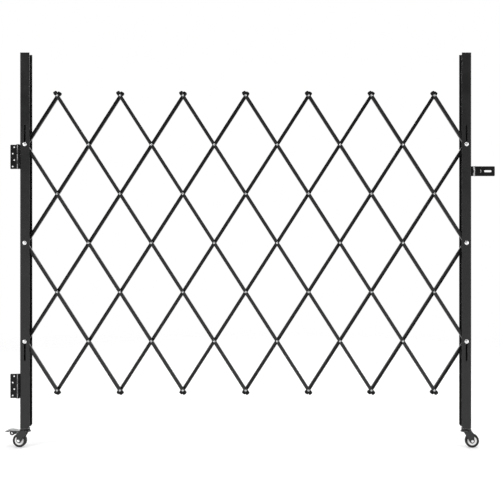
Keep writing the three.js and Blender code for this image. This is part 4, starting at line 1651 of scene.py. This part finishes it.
@dataclass
class Casters:
    """The two swivel casters, each about its swivel axis with its wheel trailing towards X."""

    wheel_radius: float = 25.0
    wheel_width: float = 19.0
    tyre_corner: float = 3.2
    core_radius: float = 16.9
    core_width: float = 16.0
    hub_radius: float = 10.5
    hub_width: float = 22.0
    axle_radius: float = 3.0
    axle_head: float = 4.8
    axle_head_height: float = 2.8
    offset: float = 23.8
    hub_gap: float = 0.5
    wall: float = 2.2
    crown_radius: float = 17.8
    crown_height: float = 60.4
    crown_wall: float = 2.6
    cover_radius: float = 14.3
    cover_reach: float = 20.8
    cover_half: float = 12.6
    cover_top: float = 67.4
    foot_radius: float = 9.3
    foot_place: Point = (22.8, 25.7)
    lead: float = 5.0
    trail: float = 27.5
    stem_radius: float = 4.8
    collar_radius: float = 7.0
    washer_radius: float = 14.5
    washer_height: float = 1.6
    rivet_radius: float = 7.5
    nut_radius: float = 8.4
    nut_rise: float = 6.2
    nut_height: float = 6.0
    bore_room: float = 0.4
    thread_height: float = 19.0
    thread_pitch: float = 1.25
    thread_depth: float = 0.5
    collar_rise: float = 2.8
    flange: float = 1.3
    leg_foot: float = 12.0
    leg_bend: float = 3.4
    leg_bend_inside: float = 1.2
    ear_room: Point = (18.8, 40.0)
    rib_size: tuple[float, float, float] = (5.4, 0.8, 1.1)
    ribs: int = 8
    groove: tuple[float, float, float] = (3.6, 2.4, 0.6)
    yaw: float = 6.0
    gap: float = 0.3

    @property
    def inner(self) -> float:
        """Half the room between the fork's legs."""
        return self.hub_width / 2 + self.hub_gap

    @property
    def outer(self) -> float:
        """Half the width over the fork's legs."""
        return self.inner + self.wall

    def tyre(self, name: str) -> Workpiece:
        """Moulds the tyre, with round shoulders, two grooves and a raised line on each side.

        Args:
            name: The name of the piece.

        Returns:
            The tyre.
        """
        work = Workpiece(name)
        half, radius, corner = self.wheel_width / 2, self.wheel_radius, self.tyre_corner
        bore = self.core_radius + 0.2
        side = [(bore, -half + 0.8), (bore + 0.6, -half + 0.1), (bore + 1.6, -half + 0.1)]
        side += [(bore + 1.8, -half), (bore + 2.4, -half), (bore + 2.6, -half + 0.25)]
        turns = [math.pi / 2 * step / 6 for step in range(7)]
        side += [
            (radius - corner + corner * math.sin(turn), -half + corner - (corner - 0.25) * math.cos(turn))
            for turn in turns
        ]
        outside, inside, depth = self.groove
        side += [(radius, -outside), (radius - depth, 0.3 - outside)]
        side += [(radius - depth, -0.3 - inside), (radius, -inside)]
        mirrored = [(r, -place) for r, place in reversed(side)]
        work.turned(Axis.ALONG_Y, [*side, *mirrored, side[0]], steps=72)
        work.soften(0.12, segments=1, limit=40)
        return work

    def core(self, name: str) -> Workpiece:
        """Moulds the wheel core, with a hub, a recessed web with ribs and a rim.

        Args:
            name: The name of the piece.

        Returns:
            The core.
        """
        work = Workpiece(name)
        bore = self.axle_radius + self.gap
        hub, rim = self.hub_width / 2, self.core_width / 2
        side = [(bore, 0.5 - hub), (bore + 0.4, -hub)]
        side += [(self.hub_radius - 0.7, -hub), (self.hub_radius, 0.7 - hub)]
        side += [(self.hub_radius + 0.2, 1.1 - rim), (self.hub_radius + 0.9, 0.6 - rim)]
        side += [(self.core_radius - 2.6, 0.6 - rim), (self.core_radius - 2.0, -rim)]
        side += [(self.core_radius - 0.3, -rim), (self.core_radius, 0.3 - rim)]
        mirrored = [(r, -place) for r, place in reversed(side)]
        work.turned(Axis.ALONG_Y, [*side, *mirrored, side[0]], steps=60)
        reach = (self.hub_radius + self.core_radius - 2.0) / 2
        size = Matrix.Diagonal((*self.rib_size, 1.0))
        for step in range(self.ribs):
            turn = Matrix.Rotation(2 * math.pi * step / self.ribs, 4, "Y")
            for way in (-1, 1):
                place = turn @ Matrix.Translation((reach, way * (rim - 0.5), 0.0)) @ size
                bmesh.ops.create_cube(work.bm, size=1.0, matrix=place)
        work.soften(0.2, limit=40)
        return work

    def axle(self, name: str) -> Workpiece:
        """Makes the axle bolt, with a domed round head at the front and a hexagon nut at the rear.

        Args:
            name: The name of the piece.

        Returns:
            The axle.
        """
        work = Workpiece(name)
        head = self.outer + self.gap
        top = head + self.axle_head_height
        boss = self.axle_head * 0.9
        dome = [(r, -top + 0.6 - h) for r, h in rolled_rim(boss, 0.6, 5)]
        profile = [*reversed(dome), (boss, 1.2 - top), (self.axle_head, 1.2 - top)]
        profile += [(self.axle_head, -head), (self.axle_radius, -head), (self.axle_radius, top), (0.0, top)]
        work.turned(Axis.ALONG_Y, profile, steps=30)
        nut = Workpiece("nut")
        nut.bar(self.axle_head, Vector((0, head, 0)), Vector((0, top - 0.5, 0)), sides=HEXAGON)
        work.shape(nut, "UNION")
        work.soften(0.25)
        return work

    def outline(self, brake: Optional["Brake"]) -> list[Point]:
        """The side view of the fork, with an ear for the pedal where it has one.

        Args:
            brake: The brake that it carries, if there is one.

        Returns:
            The corners of the outline.
        """
        foot = arc(self.foot_place, self.foot_radius, 205.0, 365.0, 20)
        start = [(-self.lead, self.crown_height), (-self.lead, self.crown_height - 2 * self.crown_wall)]
        if brake:
            return [*start, *foot, *arc(brake.pivot, brake.ear, 0.0, 118.0, 8)]
        back = [(self.trail + 1.5, 46.0), (self.trail, 54.6), (self.trail - 6.5, self.crown_height)]
        return [*start, *foot, *back]

    def fork(self, name: str, brake: Optional["Brake"]) -> Workpiece:
        """Presses the fork: two legs bent down from the crown, with the round brim of the raceway.

        Args:
            name: The name of the piece.
            brake: The brake that it carries, if there is one.

        Returns:
            The fork.
        """
        work = Workpiece(name)
        low, top, under = self.leg_foot, self.crown_height, self.crown_height - self.crown_wall
        section = [(-self.outer, low), (-self.outer, top), (self.outer, top), (self.outer, low)]
        section += [(self.inner, low), (self.inner, under), (-self.inner, under), (-self.inner, low)]
        outside, inside = (self.leg_bend, 6), (self.leg_bend_inside, 4)
        rounds = {1: outside, 2: outside, 5: inside, 6: inside}
        work.slab(Plane.SIDE, section, -self.lead - 2, self.offset + 14, rounds)
        side = Workpiece("side")
        side.slab(Plane.FRONT, self.outline(brake), -self.outer - 2, self.outer + 2)
        work.shape(side, "INTERSECT")
        reach, room = self.outer + 3, self.bore_room
        cutter = Workpiece("cutter")
        ends = [Vector((self.offset, way * reach, self.wheel_radius)) for way in (-1, 1)]
        cutter.bar(self.axle_radius + room, *ends, sides=24)
        cutter.bar(self.stem_radius + room, Vector((0, 0, low)), Vector((0, 0, self.cover_top + 4)), sides=24)
        work.shape(cutter)
        if brake:
            cutter = Workpiece("cutter")
            x, z = brake.pivot
            cutter.bar(brake.pin_radius + room, Vector((x, -reach, z)), Vector((x, reach, z)), sides=20)
            work.shape(cutter)
            cutter = Workpiece("cutter")
            near, far = self.ear_room
            gap = [(near, under - 6), (far, under - 6), (far, top + 4), (near, top + 4)]
            cutter.slab(Plane.FRONT, gap, -self.inner, self.inner)
            work.shape(cutter)
        bore, disc = self.stem_radius + room, self.crown_radius
        profile = [(bore, under), (disc - 0.6, under), (disc, under + 0.6), (disc, top - 0.6)]
        profile += [(disc - 0.6, top), (bore, top)]
        crown = Workpiece("crown")
        crown.turned(Axis.ALONG_Z, [*profile, profile[0]], steps=56)
        work.shape(crown, "UNION")
        work.soften(0.3, clamp=False)
        return work

    def cover(self, name: str) -> Workpiece:
        """Presses the cover over the raceway, with a flange round its foot and a tongue over the wheel.

        Args:
            name: The name of the piece.

        Returns:
            The cover.
        """
        work = Workpiece(name)
        low = self.crown_height + 0.1
        for grow, high in ((0.0, self.cover_top), (self.flange, low + self.flange)):
            half, reach = self.cover_half + grow, self.cover_reach + grow
            round_side = arc((0.0, 0.0), self.cover_radius + grow, 62.0, 298.0, 30)
            last = len(round_side)
            layer = Workpiece("layer")
            outline = [*round_side, (reach, -half), (reach, half)]
            layer.slab(Plane.FLOOR, outline, low, high, dict.fromkeys((last, last + 1), (5.0, 6)))
            if grow:
                work.shape(layer, "UNION")
            else:
                work = layer
        work.name = name
        bore = Workpiece("cutter")
        ends = Vector((0, 0, low - 2)), Vector((0, 0, self.cover_top + 2))
        bore.bar(self.stem_radius + self.bore_room, *ends, sides=28)
        work.shape(bore)
        work.soften(0.55, segments=3)
        return work

    def stem(self, name: str) -> Workpiece:
        """Turns the stem with its lower head, its collar and washer and the thread above them.

        Args:
            name: The name of the piece.

        Returns:
            The stem.
        """
        work = Workpiece(name)
        head = self.crown_height - self.crown_wall - self.gap
        collar = self.cover_top + self.gap
        washer = Gate.floor_gap - 0.6
        low = washer - self.washer_height
        top = Gate.floor_gap + self.collar_rise
        thread_top = top + self.thread_height
        profile = [(0.0, head - 2.2), (self.rivet_radius - 1.0, head - 2.2), (self.rivet_radius, head - 1.2)]
        profile += [(self.rivet_radius, head), (self.stem_radius, head), (self.stem_radius, collar)]
        profile += [(self.collar_radius, collar), (self.collar_radius, low)]
        profile += [(self.washer_radius - 0.3, low), (self.washer_radius, washer - 1.2)]
        profile += [(self.washer_radius, washer - 0.3), (self.washer_radius - 0.3, washer)]
        profile += [(self.collar_radius, washer), (self.collar_radius, top), (self.stem_radius, top)]
        place = top + 1.5
        while place < thread_top - 1.6:
            profile += [(self.stem_radius, place), (self.stem_radius - self.thread_depth, place + 0.6)]
            place += self.thread_pitch
        profile += [(self.stem_radius - 0.1, thread_top - 1.0), (self.stem_radius - 1.0, thread_top)]
        work.turned(Axis.ALONG_Z, [*profile, (0.0, thread_top)], steps=36)
        work.soften(0.08, segments=1, limit=60)
        return work

    def nut(self, name: str) -> Workpiece:
        """Makes the nut that holds the stem to the foot plate.

        Args:
            name: The name of the piece.

        Returns:
            The nut.
        """
        work = Workpiece(name)
        low = Gate.floor_gap + self.nut_rise
        work.bar(self.nut_radius, Vector((0, 0, low)), Vector((0, 0, low + self.nut_height)), sides=HEXAGON)
        bore = Workpiece("cutter")
        bore.bar(self.stem_radius + self.gap, Vector((0, 0, low - 2)), Vector((0, 0, low + 8)), sides=28)
        work.shape(bore)
        work.soften(0.5)
        return work

    def build(self) -> None:
        """Builds both casters, and the brake of the left one."""
        brake, yaw = Brake(), math.radians(self.yaw)
        for side, way, turn in (("left", -1, math.pi - yaw), ("right", 1, -yaw)):
            post, fork, rim = f"{side}_post", f"{side}_fork", f"{side}_wheel"
            name = f"{side}_caster"
            fixed = Matrix.Translation((way * Gate.post_axis, 0.0, 0.0))
            swivel = fixed @ Matrix.Rotation(turn, 4, "Z")
            wheel = swivel @ Matrix.Translation((self.offset, 0.0, self.wheel_radius))
            # The axle's domed head faces the front in both casters
            head = wheel if math.cos(turn) > 0 else wheel @ Matrix.Rotation(math.pi, 4, "Z")
            braked = brake if side == "left" else None
            for piece, place, finish, body, node in (
                (self.stem(f"{name}_stem"), fixed, SHADED_ZINC, post, [f"caster_stem_{side}"]),
                (self.nut(f"{name}_nut"), fixed, SHADED_ZINC, post, [f"caster_nut_{side}"]),
                (self.fork(f"{name}_fork", braked), swivel, FORK_PAINT, fork, [f"caster_fork_{side}"]),
                # The cover takes the darkest black coat: painted shade under the post foot
                (self.cover(f"{name}_cover"), swivel, FITTING_COAT, fork, []),
                (self.axle(f"{name}_axle"), head, LIT_ZINC, fork, [f"caster_axle_{side}"]),
                (self.tyre(f"{name}_tyre"), wheel, RUBBER, rim, [f"caster_tyre_{side}"]),
                (self.core(f"{name}_core"), wheel, CORE_PLASTIC, rim, [f"caster_core_{side}"]),
            ):
                piece.settle(place, finish, body, node)
            if braked:
                brake.build(swivel, self)


@dataclass
class Brake:
    """The pedal of the left caster, with its tongue that bears on the tyre, and its pin."""

    pivot: Point = (27.5, 56.0)
    ear: float = 5.0
    pin_radius: float = 1.9
    pin_head: float = 3.4
    plate: float = 1.7
    plate_gap: float = 0.05
    web: float = 1.2
    root_radius: float = 3.7
    root: Point = (22.8, 61.3)
    crest: Point = (58.0, 64.0)
    tip: Point = (78.0, 56.2)
    pad_reach: float = 38.0
    pad_width: float = 30.0
    pad_corner: float = 6.0
    grip_radius: float = 0.75
    grip_root: float = 0.25
    grip_inset: float = 3.5
    grip_places: tuple[int, ...] = (5, 8, 11)
    lobe: Point = (49.2, 53.2)
    lobe_radius: float = 9.4
    lobe_hole: float = 3.8
    side_end: float = 61.5
    skirt_start: float = 60.5
    skirt_low: float = 56.8
    skirt_end: float = 74.5
    tongue_width: float = 14.0
    tongue_wall: float = 2.6
    tongue_gap: float = 2.3
    tongue_reach: float = 44.0

    def rise(self, reach: float) -> float:
        """The height of the tread's top at a place between its root and its crest."""
        slope = (self.crest[1] - self.root[1]) / (self.crest[0] - self.root[0])
        return self.root[1] + slope * (reach - self.root[0])

    def top(self) -> list[Point]:
        """The line of the tread's top, from its crest to its tip."""
        control = ((self.crest[0] + self.tip[0]) / 2 + self.plate, self.crest[1])
        return curve(self.crest, control, self.tip, 14)

    def outline(self) -> list[Point]:
        """The side view of the two side plates, each with a lobe that has a hole.

        Returns:
            The corners of the outline.
        """
        drop = self.plate + self.plate_gap
        start, end = (self.rise(place) - drop for place in (self.root[0], self.crest[0]))
        points = [(self.root[0], start), *arc(self.pivot, self.root_radius, 180.0, 290.0, 8)]
        points += arc(self.lobe, self.lobe_radius, 165.0, 375.0, 24)
        return [*points, (self.side_end, end - 0.6), (self.crest[0], end)]

    def frame(self, name: str, half: float, wheel: Point, wheel_radius: float) -> Workpiece:
        """Presses the pedal's frame: two side plates, the web between them and the tongue.

        Args:
            name: The name of the piece.
            half: Half the width over its side plates.
            wheel: The middle of the wheel, in the side view.
            wheel_radius: The radius of the wheel.

        Returns:
            The frame.
        """
        work = Workpiece(name)
        side = self.outline()
        work.slab(Plane.FRONT, side, -half, half)
        hollow = Workpiece("hollow")
        inner = half - self.plate
        hollow.slab(Plane.FRONT, [(x, z - self.web) for x, z in side], -inner, inner)
        work.shape(hollow)
        far = Vector((self.tongue_reach, self.rise(self.tongue_reach) - self.plate - self.web / 2))
        run = far - Vector(wheel)
        along = run.normalized()
        across = Vector((-along.y, along.x)) * self.tongue_wall / 2
        near = Vector(wheel) + along * (wheel_radius + self.tongue_gap)
        corners = [tuple(point) for point in (near - across, far - across, far + across, near + across)]
        tongue = Workpiece("tongue")
        tongue.slab(Plane.FRONT, corners, -self.tongue_width / 2, self.tongue_width / 2)
        work.shape(tongue, "UNION")
        work.shape(self.skirt("skirt"), "UNION")
        cutter = Workpiece("cutter")
        reach = half + 3
        for (x, z), radius in ((self.pivot, self.pin_radius + 0.4), (self.lobe, self.lobe_hole)):
            cutter.bar(radius, Vector((x, -reach, z)), Vector((x, reach, z)), sides=24)
        work.shape(cutter)
        work.soften(0.28, clamp=False)
        return work

    def skirt(self, name: str) -> Workpiece:
        """Folds the skirt that stiffens the pedal's toe, open from below.

        Args:
            name: The name of the piece.

        Returns:
            The skirt.
        """
        work = Workpiece(name)
        drop = self.plate + self.plate_gap
        under = [(x, z - drop) for x, z in self.top() if self.skirt_start < x < self.skirt_end]
        side = [(self.skirt_start, self.skirt_low), (self.skirt_start, under[0][1]), *under]
        side += [(self.skirt_end, self.skirt_low)]
        wide = self.pad_width / 2 - 1.0
        work.slab(Plane.FRONT, side, -wide, wide)
        hollow = Workpiece("hollow")
        gap = self.plate
        room = [(self.skirt_start - 2, self.skirt_low - 2), (self.skirt_start - 2, under[0][1] - gap)]
        room += [(x, z - gap) for x, z in under if x < self.skirt_end - 2 * gap]
        room += [(self.skirt_end - 2 * gap, self.skirt_low - 2)]
        hollow.slab(Plane.FRONT, room, -wide + gap, wide - gap)
        work.shape(hollow)
        return work

    def tread(self, name: str, half: float) -> Workpiece:
        """Presses the tread that lies on the frame, narrow between the fork's ears and wide beyond them.

        Args:
            name: The name of the piece.
            half: Half the width of its narrow part.

        Returns:
            The tread.
        """
        wide = self.pad_width / 2
        parts = []
        for start, reach in ((self.root[0], half), (self.pad_reach, wide)):
            line = [(start, self.rise(start)), *self.top()]
            part = Workpiece(name)
            under = [(x, z - self.plate) for x, z in reversed(line)]
            part.slab(Plane.FRONT, [*line, *under], -reach, reach)
            parts.append(part)
        narrow, pad = parts
        for way in (-1, 1):
            for turn in (20.0, 45.0, 70.0):
                angle = math.radians(turn)
                facing = Vector((math.cos(angle), way * math.sin(angle), 0.0))
                middle = Vector((self.tip[0] - self.pad_corner, way * (wide - self.pad_corner), 0.0))
                pad.trim(middle + facing * self.pad_corner, facing)
                narrow.trim(middle + facing * self.pad_corner, facing)
        narrow.shape(pad, "UNION")
        narrow.soften(0.3, clamp=False)
        return narrow

    def grips(self, name: str) -> Workpiece:
        """The three pressed ridges across the pedal's pad.

        Args:
            name: The name of the piece.

        Returns:
            The ridges.
        """
        work = Workpiece(name)
        line = self.top()
        half = self.pad_width / 2 - self.grip_inset
        for index in self.grip_places:
            x, z = line[index]
            low = z - self.grip_root
            work.bar(self.grip_radius, Vector((x, -half, low)), Vector((x, half, low)), sides=12)
        work.soften(0.3)
        return work

    def pin(self, name: str, outer: float) -> Workpiece:
        """The pin through the fork's ears, with a domed head at each end.

        Args:
            name: The name of the piece.
            outer: Half the width over the fork's legs.

        Returns:
            The pin.
        """
        work = Workpiece(name)
        head = outer + 0.3
        dome = [(radius, head + height) for radius, height in rolled_rim(self.pin_head, 1.2, 5)]
        half = [(self.pin_radius, head), *dome]
        mirrored = [(radius, -place) for radius, place in reversed(half)]
        work.turned(Axis.ALONG_Y, [*mirrored, *half], steps=24)
        work.soften(0.1, segments=1, limit=60)
        return work

    def build(self, swivel: Matrix, caster: Casters) -> None:
        """Builds the pedal on its caster.

        Args:
            swivel: The place of the caster's swivelling part.
            caster: The sizes of the caster.
        """
        wheel = (caster.offset, caster.wheel_radius)
        half = caster.inner - 0.3
        self.frame("brake_pedal_frame", half, wheel, caster.wheel_radius).settle(
            swivel, FORK_PAINT, "pedal", ["brake_pedal"]
        )
        self.tread("brake_pedal_tread", half).settle(swivel, SHADED_TREAD_ZINC, "pedal")
        self.grips("brake_pedal_grips").settle(swivel, SHADED_TREAD_ZINC, "pedal")
        place = swivel @ Matrix.Translation((self.pivot[0], 0.0, self.pivot[1]))
        self.pin("brake_pedal_pin", caster.outer).settle(place, SHADED_ZINC, "left_fork", ["brake_pin"])


@dataclass
class Studio:
    """The pale floor, the soft lights and the camera at the photograph's angle."""

    camera_place: tuple[float, float, float] = (0.0043, -3.018, 0.7253)
    focal_pixels: float = 820.0
    frame_pixels: float = 500.0
    sensor: float = 36.0
    world_level: float = 0.6
    wall_level: float = 1.0
    ceiling_level: float = 0.03
    ceiling_span: Point = (-0.01, 0.16)
    front_span: Point = (-0.75, 0.1)
    floor_reach: float = 4.5
    floor_lift: float = 0.22
    floor_fade: Point = (0.45, 0.97)
    floor_colour: float = 0.86
    aim_height: float = 0.7
    lamps: tuple[tuple[str, tuple[float, float, float], Point, float], ...] = (
        ("key", (-4.0, -3.0, 1.5), (1.0, 2.6), 80.0),
        ("fill", (4.2, -2.4, 1.8), (1.4, 2.0), 45.0),
        ("back", (0.8, 3.4, 2.8), (2.4, 1.6), 40.0),
        ("top", (0.0, -0.4, 4.2), (3.0, 2.0), 60.0),
    )

    def camera(self) -> None:
        """Sets up the camera, level and square to the gate."""
        data = bpy.data.cameras.new("photograph")
        data.sensor_width = self.sensor
        data.lens = self.focal_pixels / self.frame_pixels * self.sensor
        data.clip_end = 200.0
        made = bpy.data.objects.new("photograph", data)
        made.location = self.camera_place
        made.rotation_euler = (math.pi / 2, 0.0, 0.0)
        bpy.context.collection.objects.link(made)
        bpy.context.scene.camera = made

    def world(self) -> None:
        """Lights evenly from all around, with a white background and a dark ceiling in front."""
        world = bpy.data.worlds.new("studio")
        world.use_nodes = True
        world.node_tree.nodes.clear()
        wiring = Wiring(world.node_tree)
        path = wiring.add("LightPath")
        shown = wiring.maths("MAXIMUM", path.outputs["Is Glossy Ray"], path.outputs["Is Transmission Ray"])
        towards = wiring.add("SeparateXYZ")
        wiring.join(wiring.add("TexCoord").outputs["Generated"], towards.inputs["Vector"])
        levels = (self.wall_level, self.ceiling_level)
        front = wiring.span(towards.outputs["Z"], *self.ceiling_span, *levels)
        room = wiring.span(towards.outputs["Y"], *self.front_span, 0.0, 1.0)
        wiring.join(front, room.node.inputs["To Min"])
        level = wiring.add("MapRange")
        level.inputs["To Min"].default_value = self.world_level
        wiring.join(shown, level.inputs["Value"])
        wiring.join(room, level.inputs["To Max"])
        strength = wiring.maths("MAXIMUM", level.outputs["Result"], path.outputs["Is Camera Ray"])
        sky = wiring.add("Background")
        sky.inputs["Color"].default_value = (1.0, 1.0, 1.0, 1.0)
        wiring.join(strength, sky.inputs["Strength"])
        output = wiring.add("OutputWorld")
        wiring.join(sky.outputs["Background"], output.inputs["Surface"])
        bpy.context.scene.world = world

    def floor(self) -> None:
        """Lays a round pale floor that keeps the gate's shadow and fades into the background."""
        bm = bmesh.new()
        bmesh.ops.create_circle(bm, cap_ends=True, segments=96, radius=self.floor_reach)
        mesh = bpy.data.meshes.new("floor")
        bm.to_mesh(mesh)
        bm.free()
        made = bpy.data.objects.new("floor", mesh)
        made.location = (0.0, 0.0, -0.0005)
        paint = bpy.data.materials.new("pale_floor")
        paint.use_nodes = True
        paint.node_tree.nodes.clear()
        wiring = Wiring(paint.node_tree)
        path = wiring.add("LightPath")
        seen = wiring.maths("MAXIMUM", path.outputs["Is Camera Ray"], path.outputs["Is Glossy Ray"])
        seen = wiring.maths("MAXIMUM", seen, path.outputs["Is Transmission Ray"])
        skin = wiring.add("BsdfPrincipled")
        skin.inputs["Base Color"].default_value = (*[self.floor_colour] * 3, 1.0)
        skin.inputs["Roughness"].default_value = 0.9
        skin.inputs["Specular IOR Level"].default_value = 0.0
        skin.inputs["Emission Color"].default_value = (1.0, 1.0, 1.0, 1.0)
        wiring.join(wiring.maths("MULTIPLY", seen, self.floor_lift), skin.inputs["Emission Strength"])
        away = wiring.add("VectorMath", operation="LENGTH")
        wiring.join(wiring.add("TexCoord").outputs["Object"], away.inputs[0])
        near, far = (self.floor_reach * share for share in self.floor_fade)
        fade = wiring.span(away.outputs["Value"], near, far, 1.0, 0.0)
        wiring.join(fade, skin.inputs["Alpha"])
        output = wiring.add("OutputMaterial")
        wiring.join(skin.outputs["BSDF"], output.inputs["Surface"])
        mesh.materials.append(paint)
        bpy.context.collection.objects.link(made)

    def lamp(self, name: str, place: Vector, size: Point, power: float) -> None:
        """Hangs one soft lamp that faces the middle of the gate.

        Args:
            name: The name of the lamp.
            place: Where it hangs.
            size: Its width and height.
            power: Its power in watts.
        """
        data = bpy.data.lights.new(name, "AREA")
        data.shape = "RECTANGLE"
        data.size, data.size_y = size
        data.energy = power
        made = bpy.data.objects.new(name, data)
        made.location = place
        aim = Vector((0.0, 0.0, self.aim_height)) - place
        made.rotation_euler = aim.to_track_quat("-Z", "Y").to_euler()
        bpy.context.collection.objects.link(made)

    def build(self) -> None:
        """Sets up camera, world, floor and lamps."""
        self.camera()
        self.world()
        self.floor()
        for name, place, size, power in self.lamps:
            self.lamp(name, Vector(place), size, power)
        bpy.context.scene.view_settings.view_transform = "Standard"


def dress_rest() -> None:
    """Gives the CAD nodes that stay their finish."""
    slots = {"black_paint": FITTING_COAT, "dark_steel": FORK_PAINT}
    slots.update({"zinc": ZINC, "tyre": RUBBER, "core": CORE_PLASTIC})
    named = {part["node"]: part["material_slot"] for part in FRAME["record"]["subparts"]}
    for name, node in FRAME["nodes"].items():
        if node.hide_render:
            continue
        finish = slots[named[name]]
        for place in node.material_slots:
            place.material = finish.material()
        LOG.info("%s keeps its CAD shape with %s", name, finish.name)


def main() -> None:
    """Builds the gate's pieces on their bodies, and the studio."""
    logging.basicConfig(level=logging.INFO, format="%(name)s: %(message)s")
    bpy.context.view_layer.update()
    Gate.find()
    Lattice().build()
    Posts().build()
    Hinges().build()
    Hasp().build()
    Casters().build()
    dress_rest()
    Studio().build()


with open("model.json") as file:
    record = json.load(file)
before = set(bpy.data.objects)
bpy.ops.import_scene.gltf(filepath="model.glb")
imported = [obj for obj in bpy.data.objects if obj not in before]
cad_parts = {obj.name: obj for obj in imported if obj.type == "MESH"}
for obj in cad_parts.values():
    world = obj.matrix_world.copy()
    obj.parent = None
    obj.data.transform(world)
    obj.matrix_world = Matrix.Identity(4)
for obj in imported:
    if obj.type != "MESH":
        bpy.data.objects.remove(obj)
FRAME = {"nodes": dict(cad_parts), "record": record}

if __name__ == "__main__":
    main()
